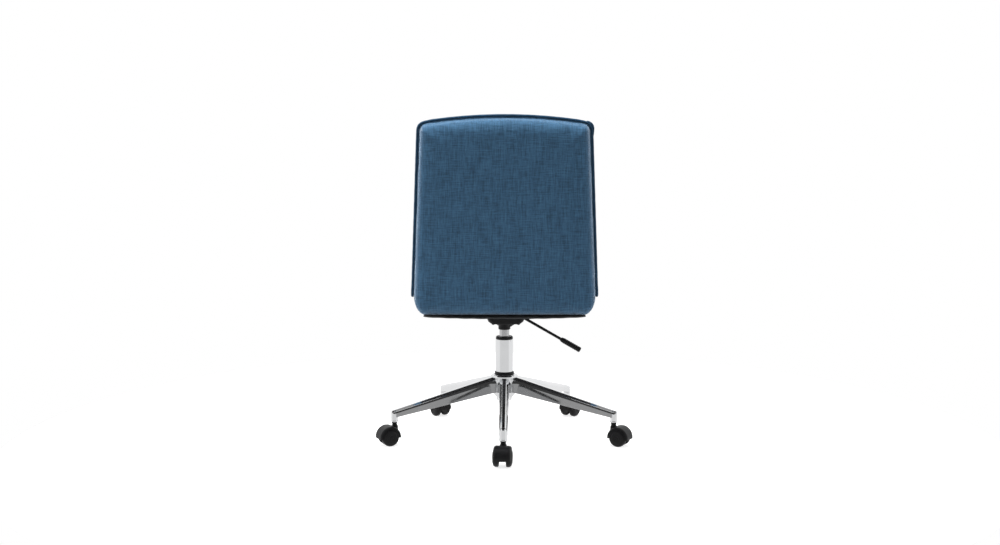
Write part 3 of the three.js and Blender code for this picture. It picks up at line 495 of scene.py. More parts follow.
def plywood():
    """Birch plywood: grain along its faces and thin plies through its thickness."""
    look = Look("birch_plywood", 0.6, specular_ior_level=0.3)
    x, y, z = look.coordinates()
    grain = look.noise(look.stretched(x, y, z, (14.0, 190.0, 190.0)), detail=4, roughness=0.6)
    plies = look.math("SINE", look.math("MULTIPLY", z, 2 * math.pi / 0.003))
    tone = look.math("MULTIPLY_ADD", plies, 0.08, grain)
    look.set("Base Color", look.ramp(tone, (0.3, (0.36, 0.22, 0.11)), (0.7, (0.60, 0.43, 0.25))))
    look.bump(grain, 0.0002, 0.4)
    return look.material


BLUE = (0.0225, 0.058, 0.103)
# Darker blue of the corded edge: painted shade, a shaded copy of the blue linen standing for the shadow on
# the cushions' edge.
BLUE_PAINTED_SHADE = (0.011, 0.032, 0.060)

chrome = polished_chrome()
cylinder_steel = brushed_metal("satin_cylinder", (0.58, 0.58, 0.59), 0.17)
bright_steel = brushed_metal("zinc_plated_steel", (0.55, 0.55, 0.56), 0.34)
black_steel = painted_steel()
black_plastic = moulded_plastic("black_plastic", (0.0055, 0.0055, 0.006), 0.36, 2200.0)
caster_plastic = moulded_plastic("caster_nylon", (0.0042, 0.0042, 0.0045), 0.40, 1800.0)
blue_linen = linen("blue_linen", BLUE, 0.50, 1.0)
# The corded edge's linen, in the darker blue of painted shade.
welt_linen_painted_shade = linen("welt_linen_painted_shade", BLUE_PAINTED_SHADE, 0.35, 0.30)
navy_thread = linen("navy_thread", shade(BLUE_PAINTED_SHADE, 1.4), 0.2, 0.2)
dust_cloth = felt_cloth()
birch = plywood()


# ---------------------------------------------------------------- base


def base_hub():
    low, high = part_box("base_hub")
    foot, bell_side, flare = 0.0245, 0.033, high.x
    bore_foot, bore_top = 0.0223, 0.0252
    corners = [
        (foot - 0.0004, low.z, 0.0012),
        (bell_side - 0.0035, low.z + 0.007, 0.006),
        (bell_side - 0.0005, low.z + 0.018, 0.020),
        (bell_side + 0.0005, low.z + 0.036, 0.020),
        (bell_side + 0.0020, high.z - 0.012, 0.006),
        (flare, high.z - 0.0062, 0.0012),
        (flare, high.z - 0.0025, 0.0012),
        (flare - 0.0018, high.z, 0.0012),
        (flare - 0.0055, high.z, 0.0006),
        (flare - 0.0062, high.z - 0.0008, 0.0004),
        (bore_top + 0.0036, high.z - 0.0008, 0.0004),
        (bore_top + 0.0030, high.z, 0.0004),
        (bore_top, high.z, 0.0004),
        (bore_foot, low.z, 0.0004),
    ]
    turned("hub_casting", corners, chrome, "base", "base_hub")


ARM_TOP_Z = 0.179
ARM_TIP_Z = 0.099
ARM_ROOT_X = 0.026
ARM_ROOT_DEPTH = 0.045
ARM_TIP_DEPTH = 0.021
ARM_ROOT_HALF_WIDTH = 0.015
SOCKET_RADIUS = 0.0102
ARM_WALL = 0.0022
ARM_LEDGE = 0.0008
ARM_DRAFT = 0.075  # half width gained per metre down the side
RIDGE_SHARE = 0.38  # of the half width
EAVE_SHARE = 0.95  # depth of the eave below the ridge, of the half width
arm_slope = (ARM_TOP_Z - ARM_TIP_Z) / (star_radius - ARM_ROOT_X)


def arm_top(x):
    return ARM_TOP_Z - arm_slope * (x - ARM_ROOT_X)


def roof(half, share=1.0):
    """Half of an arm's outside from its ridge to its eave: (sideways, down, rounding)."""
    step_x = half * (1 - 0.22 * share)
    step_z = -0.50 * half * share
    return [
        (half * (1 - (1 - RIDGE_SHARE) * share), 0.0, 0.0012 * share),
        (step_x, step_z, 0.0004 * share),
        (step_x + ARM_LEDGE * share, step_z - 0.0002 * share, 0.0002 * share),
        (half, -EAVE_SHARE * half * share, 0.0006),
    ]


def arm_section(x):
    """An inverted U: a narrow ridge, sloping roof, a thin ledge, a steep eave and drafted sides."""
    share = (x - ARM_ROOT_X) / (star_radius - ARM_ROOT_X)
    flare = 0.004 * math.exp(-(((x - 0.030) / 0.012) ** 2))
    half = ARM_ROOT_HALF_WIDTH + share * (SOCKET_RADIUS - ARM_ROOT_HALF_WIDTH) + flare
    depth = ARM_ROOT_DEPTH + share * (ARM_TIP_DEPTH - ARM_ROOT_DEPTH)
    eave = EAVE_SHARE * half
    draft = ARM_DRAFT * (depth - eave)
    outer = [
        (0, 0.0003, 0),
        *roof(half),
        (half + draft, -depth, 0.0007),
        (half - ARM_WALL + draft, -depth, 0.0007),
        (half - ARM_WALL, -eave - 0.0005, 0.002),
        (half * RIDGE_SHARE, -ARM_WALL, 0.001),
        (0, -ARM_WALL, 0),
    ]
    side = rounded(outer, closed=False, steps=3)
    mirrored = [Vector((-y, z)) for y, z in reversed(side[1:-1])]
    return [(x, y, arm_top(x) + z) for y, z in [*side, *mirrored]]


def caster_socket():
    """The upright end of an arm. The arm's roof runs out on its sides, its outer face is plain."""
    low_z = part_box("base_arm_1")[0].z
    r = SOCKET_RADIUS
    top = ARM_TIP_Z
    bore = 0.0060
    segments = 48
    profiles = []
    for j in range(segments):
        angle = 2 * math.pi * j / segments
        share = 1.0 if math.cos(angle) < 0 else max(0.18, abs(math.sin(angle)) ** 1.5)
        profiles.append((angle, rounded([
            (1e-5, top + 0.0003, 0),
            *((out, top + down, radius) for out, down, radius in roof(r, share)),
            (r, low_z + 0.004, 0.0004),
            (r + 0.0005, low_z + 0.003, 0.0004),
            (r + 0.0005, low_z, 0.0006),
            (bore, low_z, 0.0004),
            (bore, top - 0.009, 0.0004),
            (1e-5, top - 0.009, 0),
        ], closed=False)))
    follow = low_z + 0.014
    rings = []
    for k in range(len(profiles[0][1])):
        ring = []
        for angle, profile in profiles:
            radius, z = profile[k]
            x, y = radius * math.cos(angle), radius * math.sin(angle)
            fall = arm_slope * x * min(1, max(0, (z - follow) / 0.010))
            ring.append(Vector((star_radius + x, y, z - fall)))
        rings.append(ring)
    return loft(rings)


def base_arms():
    stations = [0.0290, 0.0315, 0.034, 0.037, 0.040, 0.044, 0.048, 0.054, 0.062]
    stations += [0.062 + (star_radius - 0.003 - 0.062) * i / 12 for i in range(1, 13)]
    arm = combined(loft([arm_section(x) for x in stations]), caster_socket())
    for number in CASTER_NUMBERS:
        x, y = stem_places[number - 1]
        mesh = mesh_of(moved(arm, Matrix.Rotation(math.atan2(y, x), 4, "Z")))
        piece(f"star_arm_{number}", mesh, chrome, "base", f"base_arm_{number}", sharp=30)


# ---------------------------------------------------------------- casters


def wheel_shape():
    """A wheel about Z: capped outer face, shoulders, tread and a recessed inner face."""
    inner, outer = 0.0105, 0.0265
    radius = wheel_centre_z
    corners = [
        (0, outer - 0.0003, 0),
        (0.0048, outer - 0.0003, 0.0004),
        (0.0054, outer - 0.0011, 0.0004),
        (0.0066, outer - 0.0011, 0.0004),
        (0.0074, outer - 0.0002, 0.0005),
        (radius - 0.0092, outer - 0.0004, 0.0010),
        (radius - 0.0084, outer - 0.0015, 0.0005),
        (radius - 0.0072, outer - 0.0016, 0.0005),
        (radius - 0.0064, outer - 0.0012, 0.0020),
        (radius - 0.0026, outer - 0.0036, 0.0030),
        (radius, outer - 0.0080, 0.0030),
        (radius, inner + 0.0012, 0.0010),
        (radius - 0.0012, inner, 0.0008),
        (radius - 0.0030, inner, 0.0008),
        (radius - 0.0040, inner + 0.0030, 0.0010),
        (0.0085, inner + 0.0030, 0.0010),
        (0.0075, inner, 0.0006),
        (0.00335, inner, 0.0004),
        (0.00335, outer - 0.0046, 0.0003),
        (0, outer - 0.0046, 0),
    ]
    return moved(lathe(corners, 72, closed=False, steps=3), Matrix.Rotation(math.pi / 2, 4, "X"))


HOOD_RADIUS = 0.031
WEB_THICKNESS = 0.0176


def hood_section():
    """Across the hood: [sideways, outward] points of a thin shell with round shoulders and lips."""
    half, radius, wall, lip = 0.0238, HOOD_RADIUS, 0.0022, 0.0072
    corners = [
        (-half, radius - lip, 0.0006),
        (-half, radius, 0.0068),
        (half, radius, 0.0068),
        (half, radius - lip, 0.0006),
        (half - 0.0014, radius - lip, 0.0004),
        (half - 0.0018, radius - wall, 0.0042),
        (-half + 0.0018, radius - wall, 0.0042),
        (-half + 0.0014, radius - lip, 0.0004),
    ]
    return rounded(corners, steps=4)


def caster_hood_shape():
    """Hood, central web, axle boss and neck, with the neck on Z and the wheels trailing along +X."""
    centre = Vector((caster_trail, 0, wheel_centre_z))
    first, last = math.radians(-8), math.radians(184)
    rings = []
    for i in range(41):
        angle = first + (last - first) * i / 40
        out = Vector((math.cos(angle), 0, math.sin(angle)))
        rings.append([centre + out * r + Vector((0, y, 0)) for y, r in hood_section()])
    arc = [math.radians(180 * i / 32) for i in range(33)]
    web_radius = HOOD_RADIUS - 0.0018
    web_outline = [Vector((web_radius * math.cos(a), web_radius * math.sin(a))) for a in arc]
    upright = Matrix.Rotation(math.pi / 2, 4, "X")
    web = moved(prism(web_outline, WEB_THICKNESS), Matrix.Translation(centre) @ upright)
    boss_half = Vector((0, 0.0098, 0))
    boss = rod(0.0080, centre - boss_half, centre + boss_half, 36, 0.0008)
    rib = [Vector(corner) for corner in ((-0.0012, -0.006), (0.0012, -0.006), (0.0012, 0.006),
                                         (-0.0012, 0.006))]
    rib_reach = 0.0180
    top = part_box("caster_hood_1")[1].z
    stem_bore, flange, buried = 0.0058, 0.0080, 0.040
    neck = lathe([
        (0, buried, 0),
        (0.0098, buried, 0),
        (0.0094, 0.0535, 0.004),
        (0.0072, 0.0570, 0.002),
        (0.0070, top - 0.0036, 0.0006),
        (flange, top - 0.0028, 0.0006),
        (flange, top, 0.0006),
        (stem_bore, top, 0.0003),
        (stem_bore, top - 0.012, 0.0),
        (0, top - 0.012, 0),
    ], 40, closed=False)
    ribs = []
    for turn in (math.radians(40), math.radians(140)):
        out = centre + Vector((rib_reach * math.cos(turn), 0, rib_reach * math.sin(turn)))
        lying = upright @ Matrix.Rotation(turn - math.pi / 2, 4, "Z")
        ribs.append(moved(prism(rib, WEB_THICKNESS), Matrix.Translation(out) @ lying))
    return combined(loft(rings), web, boss, neck, *ribs)


def casters():
    hood = caster_hood_shape()
    wheel = wheel_shape()
    to_wheel = Matrix.Translation((caster_trail, 0, wheel_centre_z))
    for number in CASTER_NUMBERS:
        x, y = stem_places[number - 1]
        trail = wheel_places[number - 1] - stem_places[number - 1]
        place = Matrix.Translation((x, y, 0)) @ Matrix.Rotation(math.atan2(trail.y, trail.x), 4, "Z")
        mesh = beveled(moved(hood, place), 0.0005)
        piece(f"hood_{number}", mesh, caster_plastic, f"caster_{number}", f"caster_hood_{number}", sharp=40)
        for side, flip in (("left", math.pi), ("right", 0)):
            turned = place @ to_wheel @ Matrix.Rotation(flip, 4, "Z")
            mesh = mesh_of(moved(wheel, turned))
            piece(f"wheel_{number}_{side}", mesh, caster_plastic, f"caster_{number}_{side}_wheel",
                  f"caster_wheel_{number}_{side}", sharp=40)


# ---------------------------------------------------------------- gas lift


def lift_tube():
    low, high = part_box("outer_tube")
    hub_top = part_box("base_hub")[1].z
    radius, wall, foot_radius, hole = high.x, 0.0017, 0.0216, 0.006
    turned("lift_tube", [
        (hole, low.z, 0.0003),
        (foot_radius, low.z, 0.0006),
        (radius - 0.0002, hub_top, 0.0),
        (radius, hub_top + 0.001, 0.001),
        (radius, high.z - 0.0004, 0.0008),
        (radius - wall, high.z, 0.0006),
        (radius - wall, hub_top, 0.0),
        (foot_radius - wall, low.z + 0.003, 0.0004),
        (hole, low.z + 0.003, 0.0003),
    ], chrome, "base", "outer_tube")


def foot_collar():
    low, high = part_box("column_collar")
    bore, step = 0.02535, 0.0007
    turned("foot_collar", [
        (bore, low.z, 0.0003),
        (high.x, low.z, 0.0006),
        (high.x, high.z - 0.0042, 0.0006),
        (high.x - step, high.z - 0.0034, 0.0003),
        (high.x - step, high.z, 0.0014),
        (bore, high.z, 0.0006),
    ], black_plastic, "base", "column_collar")


def top_guide():
    """The plastic ring at the top of the tube, and the steel washer that lies in its recess."""
    tube_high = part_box("outer_tube")[1]
    low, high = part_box("guide_ring")
    bore, liner, rest_z = 0.01435, tube_high.x - 0.00205, tube_high.z + 0.00035
    recess_z = high.z - 0.0014
    turned("top_guide", [
        (bore, low.z, 0.0004),
        (liner, low.z, 0.0006),
        (liner, rest_z, 0.0),
        (high.x, rest_z, 0.0006),
        (high.x, high.z - 0.0030, 0.0016),
        (high.x - 0.0020, high.z, 0.0014),
        (0.0208, high.z, 0.0006),
        (0.0204, recess_z, 0.0003),
        (bore, recess_z, 0.0003),
    ], black_plastic, "base", "guide_ring")
    inner, outer, top = 0.0150, 0.0202, recess_z + 0.0010
    turned("guide_washer", [
        (inner, recess_z, 0.0002),
        (outer, recess_z, 0.0002),
        (outer, top, 0.0004),
        (inner, top, 0.0004),
    ], bright_steel, "base")


def lift_cylinder():
    low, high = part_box("gas_cylinder")
    taper_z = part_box("mechanism_housing")[0].z
    rod_bore, pin_bore, rod_bore_top = 0.00535, 0.00435, 0.250
    turned("lift_cylinder", [
        (0, rod_bore_top, 0),
        (rod_bore, rod_bore_top, 0.0003),
        (rod_bore, low.z, 0.0004),
        (high.x, low.z, 0.0015),
        (high.x, taper_z, 0.0),
        (high.x - 0.0008, high.z, 0.0006),
        (pin_bore, high.z, 0.0003),
        (pin_bore, high.z - 0.010, 0.0002),
        (0, high.z - 0.010, 0),
    ], cylinder_steel, "carriage", "gas_cylinder", segments=72, closed=False)
    pin_low, pin_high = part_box("valve_pin")
    pin = rod(pin_high.x, (0, 0, pin_low.z), (0, 0, pin_high.z), 32, 0.001)
    piece("release_pin", mesh_of(pin), black_plastic, "valve", "valve_pin")


# ---------------------------------------------------------------- tilt mechanism

housing_low, housing_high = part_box("mechanism_housing")
housing_x = (housing_low.x + housing_high.x) / 2
housing_half_width = (housing_high.x - housing_low.x) / 2
HOUSING_BOTTOM_Z = 0.332
HOUSING_KNEE_Z = 0.341
HOUSING_SHOULDER_Z = 0.350
HOUSING_TOP_Z = 0.358
HOUSING_FOOT_HALF_WIDTH = 0.0415
HOUSING_KNEE_HALF_WIDTH = 0.0495
SHEET = 0.0025
DISH_FLOOR_Z = HOUSING_BOTTOM_Z + 0.0015  # the rails stand below it
tilt_y, tilt_z = joints["tilt"]["pos_m"][1:]
bolt_y = joints["tension_turn"]["pos_m"][1]
lever_x = joints["lever_lift"]["pos_m"][0]
lever_z = joints["lever_lift"]["pos_m"][2]


def dish_ring(inset, wide, z):
    """Plan outline of the dish at a height."""
    half = wide - inset
    front, rear = housing_low.y + inset, housing_high.y - inset
    r = max(0.012 - inset, 0.002)
    corners = [(-half, front, r), (half, front, r), (half, rear, r), (-half, rear, r)]
    return [(housing_x + x, y, z) for x, y in rounded(corners, steps=6)]


def pressed_dish():
    """The dish of pressed sheet, from its floor up the outside and back down the inside."""
    wide, knee, foot = housing_half_width, HOUSING_KNEE_HALF_WIDTH, HOUSING_FOOT_HALF_WIDTH
    dish = loft([dish_ring(inset, half, z) for inset, half, z in (
        (0.0045, foot, DISH_FLOOR_Z),
        (0.0013, foot, DISH_FLOOR_Z + 0.0008),
        (0.0, foot + 0.0010, DISH_FLOOR_Z + 0.0020),
        (0.0, knee, HOUSING_KNEE_Z),
        (0.0, wide - 0.0010, HOUSING_SHOULDER_Z - 0.003),
        (0.0, wide, HOUSING_SHOULDER_Z + 0.001),
        (0.0, wide, HOUSING_TOP_Z - 0.0004),
        (0.0005, wide, HOUSING_TOP_Z),
        (SHEET - 0.0005, wide, HOUSING_TOP_Z),
        (SHEET, wide, HOUSING_TOP_Z - 0.0004),
        (SHEET, wide, HOUSING_SHOULDER_Z + 0.0015),
        (SHEET, wide - 0.0010, HOUSING_SHOULDER_Z - 0.0025),
        (SHEET, knee, HOUSING_KNEE_Z + 0.0008),
        (SHEET, foot + 0.0010, DISH_FLOOR_Z + SHEET + 0.0018),
        (SHEET + 0.0015, foot, DISH_FLOOR_Z + SHEET + 0.0006),
        (SHEET + 0.0045, foot, DISH_FLOOR_Z + SHEET),
    )])
    knob_room = block(
        (-0.036, housing_low.y + SHEET + 0.0004, DISH_FLOOR_Z - 0.004),
        (0.036, -0.058, DISH_FLOOR_Z + 0.0040),
        0.008,
    )
    side_x = housing_x - wide
    lever_slot = block((side_x - 0.002, -0.007, HOUSING_KNEE_Z - 0.003), (side_x + 0.009, 0.007, 0.360), 0.0)
    return cut_out(beveled(dish, 0.0004, 1), knob_room, lever_slot)


def mechanism_hub():
    """The tapered hub that sits on the gas cylinder, flared into the floor of the dish."""
    side, low_bore, high_bore, top = 0.0172, 0.01456, 0.01356, 0.3495
    return lathe([
        (low_bore, housing_low.z, 0.0004),
        (side, housing_low.z, 0.0020),
        (side, HOUSING_BOTTOM_Z - 0.0100, 0.002),
        (0.0255, HOUSING_BOTTOM_Z + 0.0006, 0.004),
        (0.0290, HOUSING_BOTTOM_Z + 0.0022, 0.0),
        (0.0215, HOUSING_BOTTOM_Z + 0.0080, 0.002),
        (side, top, 0.0008),
        (high_bore, top, 0.0004),
    ], 72)


def dish_rails():
    """Two round beads pressed along the floor of the dish."""
    radius, apart = 0.0055, 0.0355
    stations = np.linspace(housing_low.y + 0.014, housing_high.y - 0.004, 12)
    rails = []
    for x in (housing_x - apart, housing_x + apart):
        rails.append(sweep([Vector((x, y, HOUSING_BOTTOM_Z + radius)) for y in stations], radius, 20))
    return rails


def tilt_ear(side, across, foot_half, foot_z, lift, thickness):
    """An upright ear on the tilt axis, from a foot at foot_z to a rounded end past the pin by lift."""
    outline = rounded([
        (tilt_y - foot_half, foot_z, 0.0),
        (tilt_y + foot_half, foot_z, 0.0),
        (tilt_y + 0.009, tilt_z + lift, 0.008),
        (tilt_y - 0.009, tilt_z + lift, 0.008),
    ])
    drawn_in_yz = Matrix(((0, 0, 1, 0), (1, 0, 0, 0), (0, 1, 0, 0), (0, 0, 0, 1)))
    place = Matrix.Translation((housing_x + side * across, 0, 0))
    return moved(prism(outline, thickness), place @ drawn_in_yz)


def dish_fittings():
    """The gusset under the lever side, the ears for the tilt pin and the ears for the lever's pin."""
    gusset = moved(
        prism(rounded([
            (-0.012, 0.3205, 0.001),
            (-0.0180, 0.3205, 0.003),
            (-0.0350, 0.3315, 0.003),
            (-0.0350, 0.335, 0.001),
            (-0.012, 0.335, 0.001),
        ]), 0.024),
        Matrix.Translation((0, -0.002, 0)) @ Matrix.Rotation(math.pi / 2, 4, "X"),
    )
    across = housing_half_width - SHEET / 2
    ears = [tilt_ear(side, across, 0.013, HOUSING_SHOULDER_Z, 0.009, SHEET) for side in (-1, 1)]
    low_z, high_z = DISH_FLOOR_Z + 0.001, lever_z + 0.006
    lever_ears = [
        block((lever_x - 0.006, y - 0.0012, low_z), (lever_x + 0.006, y + 0.0012, high_z))
        for y in (-0.0098, 0.0098)
    ]
    return beveled(combined(gusset, *ears, *lever_ears), 0.0006)


def mechanism_housing():
    half = housing_half_width - 0.0012
    low, high = (housing_x - half, bolt_y - 0.020, 0.352), (housing_x + half, bolt_y + 0.020, 0.3545)
    bridge = block(low, high, 0.003)
    bridge = cut_out(beveled(bridge, 0.0005), rod(0.011, (0, bolt_y, 0.34), (0, bolt_y, 0.36)))
    body = joined(pressed_dish(), bridge, dish_fittings(), mesh_of(combined(mechanism_hub(), *dish_rails())))
    piece("tilt_housing", body, black_steel, "carriage", "mechanism_housing")


def tilt_pin():
    """A plain round pin with a groove for a clip near each end."""
    low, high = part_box("tilt_pin")
    reach = (high.x - low.x) / 2
    radius, groove = 0.005, 0.0041
    end = [
        (radius, 0.0018, 0.0002),
        (groove, 0.0016, 0.0),
        (groove, 0.0010, 0.0),
        (radius, 0.0008, 0.0002),
        (radius, 0.0, 0.0008),
        (0, 0.0, 0),
    ]
    corners = [(r, along - reach, edge) for r, along, edge in reversed(end)]
    corners += [(r, reach - along, edge) for r, along, edge in end]
    place = Matrix.Translation((housing_x, tilt_y, tilt_z))
    mesh = mesh_of(moved(along_x(lathe(corners, 40, closed=False)), place))
    piece("pivot_pin", mesh, bright_steel, "carriage", "tilt_pin")


def tension_spring():
    low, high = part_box("tension_spring")
    wire, turns, coil_radius, steps_per_turn = 0.0015, 5, 0.009, 40
    steps = turns * steps_per_turn
    rise = high.z - low.z - 2 * wire
    path = []
    for i in range(steps + 1):
        angle = 2 * math.pi * i / steps_per_turn
        ends = min(1.0, i / steps_per_turn, (steps - i) / steps_per_turn)
        height = low.z + wire + rise * (i / steps) + 0.0002 * ends
        path.append(Vector((coil_radius * math.cos(angle), bolt_y + coil_radius * math.sin(angle), height)))
    piece("coil_spring", mesh_of(sweep(path, wire, 12)), bright_steel, "carriage", "tension_spring")


def tension_knob():
    """A six-lobed hand knob moulded round its bolt, with a cup for the spring."""
    low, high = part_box("tension_knob")
    radius, top, floor = 0.022, 0.330, 0.320
    smooth_radius, lobe_depth, lobes, count = 0.016, 0.0030, 6, 144
    profile = rounded([
        (0.001, low.z + 0.0015, 0),
        (0.0085, low.z + 0.0015, 0.0004),
        (0.0090, low.z + 0.0025, 0.0004),
        (0.0145, low.z + 0.0025, 0.0004),
        (0.0152, low.z, 0.0006),
        (radius, low.z, 0.0024),
        (radius, top, 0.0016),
        (0.0132, top, 0.0006),
        (0.0130, floor, 0.0008),
        (0.001, floor, 0),
    ], closed=False)
    rings = []
    for r, z in profile:
        grip = max(0.0, (r - smooth_radius) / (radius - smooth_radius))
        ring = []
        for j in range(count):
            angle = 2 * math.pi * j / count
            r_here = r - lobe_depth * grip * (0.5 - 0.5 * math.cos(lobes * angle)) ** 2
            ring.append((r_here * math.cos(angle), bolt_y + r_here * math.sin(angle), z))
        rings.append(ring)
    bolt = rod(0.005, (0, bolt_y, floor - 0.001), (0, bolt_y, high.z), 32, 0.0006)
    piece("tension_hand_knob", mesh_of(combined(loft(rings), bolt)), black_plastic, "knob", "tension_knob")


def seat_plate():
    low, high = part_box("seat_plate")
    bottom = high.z - 0.003
    corner = 0.012
    plate = block((low.x, low.y, bottom), (high.x, high.y, high.z), corner)
    slots = []
    below, above = bottom - 0.01, high.z + 0.01
    for number in SEAT_BOLT_NUMBERS:
        bolt_low, bolt_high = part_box(f"seat_bolt_{number}")
        x, y = (bolt_low.x + bolt_high.x) / 2, (bolt_low.y + bolt_high.y) / 2
        slots.append(block((x - 0.0040, y - 0.0040, below), (x + 0.0040, y + 0.0040, above), 0.0039))
    windows = [block((x - 0.006, 0.010, below), (x + 0.006, 0.050, above), 0.0055) for x in (-0.030, 0.030)]
    plate = cut_out(beveled(plate, 0.0007), *slots, *windows)
    ribs = [
        sweep([Vector((x, y, bottom)) for y in np.linspace(low.y + 0.03, high.y - 0.02, 10)], 0.0025, 16)
        for x in (-0.052, 0.052)
    ]
    ears = [tilt_ear(side, 0.0395, 0.012, bottom + 0.001, -0.009, 0.003) for side in (-1, 1)]
    nut = moved(lathe([(0.0054, 0, 0), (0.0098, 0, 0.0008), (0.0098, 0.0105, 0), (0.0054, 0.0105, 0)], 6,
                      True, 2), Matrix.Translation((0, bolt_y, bottom - 0.010)))
    body = joined(plate, beveled(combined(*ears, nut), 0.0005), mesh_of(combined(*ribs)))
    piece("seat_mounting_plate", body, black_steel, "seat", "seat_plate")


def seat_bolts():
    for number in SEAT_BOLT_NUMBERS:
        node = f"seat_bolt_{number}"
        low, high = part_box(node)
        centre = Matrix.Translation(((low.x + high.x) / 2, (low.y + high.y) / 2, 0))
        plate_bottom = low.z + 0.005
        head_top, washer_top = plate_bottom - 0.0015, plate_bottom - 0.0003
        head = lathe([
            (0, low.z, 0),
            (0.0058, low.z, 0.0008),
            (0.0058, head_top, 0),
            (0, head_top, 0),
        ], 6, False, 2)
        washer = lathe([
            (0, head_top, 0),
            (0.0085, head_top, 0.0004),
            (0.0085, washer_top, 0.0003),
            (0, washer_top, 0),
        ], 32, False)
        shank = rod(0.003, (0, 0, plate_bottom - 0.001), (0, 0, high.z), 24)
        mesh = joined(beveled(moved(head, centre), 0.0003), mesh_of(moved(combined(washer, shank), centre)))
        piece(f"plate_bolt_{number}", mesh, bright_steel, "seat", node, sharp=30)


# ---------------------------------------------------------------- lever

LEVER_DROOP = math.radians(30)
LEVER_BEND_X = -0.036
LEVER_LENGTH = 0.145
lever_direction = Vector((-math.cos(LEVER_DROOP), 0, -math.sin(LEVER_DROOP)))
lever_bend = Vector((LEVER_BEND_X, 0, lever_z))


def lever_shaft():
    """A bent round rod with its pivot pin across the end that presses the valve."""
    radius, turn_radius = 0.004, 0.014
    inner_end = Vector((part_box("lever_rod")[1].x, 0, lever_z))
    reach = turn_radius * math.tan(LEVER_DROOP / 2)
    centre = lever_bend + Vector((reach, 0, -turn_radius))
    path = [inner_end.lerp(lever_bend + Vector((reach, 0, 0)), i / 6) for i in range(6)]
    for i in range(9):
        angle = LEVER_DROOP * i / 8
        path.append(centre + turn_radius * Vector((-math.sin(angle), 0, math.cos(angle))))
    end = lever_bend + lever_direction * (LEVER_LENGTH + 0.012)
    path += [path[-1].lerp(end, i / 8) for i in range(1, 9)]
    pin = rod(0.003, (lever_x, -0.012, lever_z), (lever_x, 0.012, lever_z), 24)
    mesh = joined(beveled(sweep(path, radius, 24), 0.0006), mesh_of(pin))
    piece("release_lever", mesh, black_steel, "lever", "lever_rod", sharp=50)


def lever_handle():
    """A plastic grip with seven raised rings, pushed over the end of the rod."""
    length, radius, bore, depth = 0.064, 0.0076, 0.00435, 0.013
    valley = radius - 0.0006
    corners = [
        (bore, 0, 0.0003),
        (0.0058, 0, 0.0006),
        (0.0062, 0.0030, 0.0006),
        (radius - 0.0008, 0.0060, 0.001),
    ]
    for i in range(7):
        start = 0.010 + 0.0062 * i
        corners += [
            (radius, start, 0.0008),
            (radius, start + 0.0038, 0.0008),
            (valley, start + 0.0046, 0.0004),
            (valley, start + 0.0054, 0.0004),
        ]
    corners += [
        (radius, length - 0.008, 0.001),
        (radius, length, 0.0032),
        (0, length, 0),
        (0, depth, 0),
        (bore, depth, 0.0003),
    ]
    place = Matrix.Translation(lever_bend + lever_direction * LEVER_LENGTH)
    turn = lever_direction.to_track_quat("Z", "Y").to_matrix().to_4x4()
    mesh = mesh_of(moved(lathe(corners, 48), place @ turn))
    piece("lever_hand_grip", mesh, black_plastic, "lever", "lever_grip")


# ---------------------------------------------------------------- upholstery


def back_point(x, v, depth):
    """A point of the back from its place in the leaning plane: across, up from the seam, and inward."""
    return Vector((
        x,
        REAR_Y + v * math.sin(LEAN) - depth * math.cos(LEAN),
        seam_z + v * math.cos(LEAN) + depth * math.sin(LEAN),
    ))


def back_place(points):
    """Height up the back and depth into it, for an array of points."""
    y, z = points[:, 1] - REAR_Y, points[:, 2] - seam_z
    height = y * math.sin(LEAN) + z * math.cos(LEAN)
    depth = -y * math.cos(LEAN) + z * math.sin(LEAN)
    return height, depth


def half_width(v):
    return pad_half_width - BACK_TAPER * v


def points_of(mesh):
    flat = np.empty(3 * len(mesh.vertices))
    mesh.vertices.foreach_get("co", flat)
    return flat.reshape(-1, 3)


def normals_of(mesh):
    flat = np.empty(3 * len(mesh.vertices), np.float32)
    mesh.vertex_normals.foreach_get("vector", flat)
    return flat.reshape(-1, 3).astype(float)


def put_points(mesh, points):
    mesh.vertices.foreach_set("co", points.astype(np.float32).ravel())
    mesh.update()


def press(mesh, depth_at):
    """Moves each point against its normal by what depth_at says for it."""
    points, normals = points_of(mesh), normals_of(mesh)
    put_points(mesh, points - normals * depth_at(points, normals)[:, None])


def bell(distance, width):
    return np.exp(-((distance / width) ** 2))


def foam_form(name, *meshes, smoothing=10):
    """An even net of small faces round these closed meshes, with its steps smoothed away."""
    obj = linked(name, joined(*meshes))
    remesh = obj.modifiers.new("net", "REMESH")
    remesh.mode = "VOXEL"
    remesh.voxel_size = VOXEL
    smooth = obj.modifiers.new("smooth", "SMOOTH")
    smooth.iterations = smoothing
    return settled(obj)


def swell(obj, pressure, cap, held):
    """Cloth simulation: foam pushes the cover out by up to cap, but not where held says."""
    rest = points_of(obj.data)
    group = obj.vertex_groups.new(name="held")
    group.add([int(i) for i in np.nonzero(held(rest))[0]], 1.0, "REPLACE")
    cloth = obj.modifiers.new("cover", "CLOTH")
    settings = cloth.settings
    settings.quality = 4
    settings.mass = 0.3
    settings.use_pressure = True
    settings.uniform_pressure_force = pressure
    settings.effector_weights.gravity = 0
    settings.vertex_group_mass = "held"
    cloth.point_cache.frame_start = 1
    cloth.point_cache.frame_end = CLOTH_FRAMES
    scene = bpy.context.scene
    for step in range(1, CLOTH_FRAMES + 1):
        scene.frame_set(step)
    graph = bpy.context.evaluated_depsgraph_get()
    pushed = points_of(obj.evaluated_get(graph).data)
    obj.modifiers.remove(cloth)
    obj.vertex_groups.clear()
    scene.frame_set(1)
    move = pushed - rest
    length = np.linalg.norm(move, axis=1)
    move *= np.minimum(1, cap / np.maximum(length, 1e-9))[:, None]
    put_points(obj.data, rest + move)


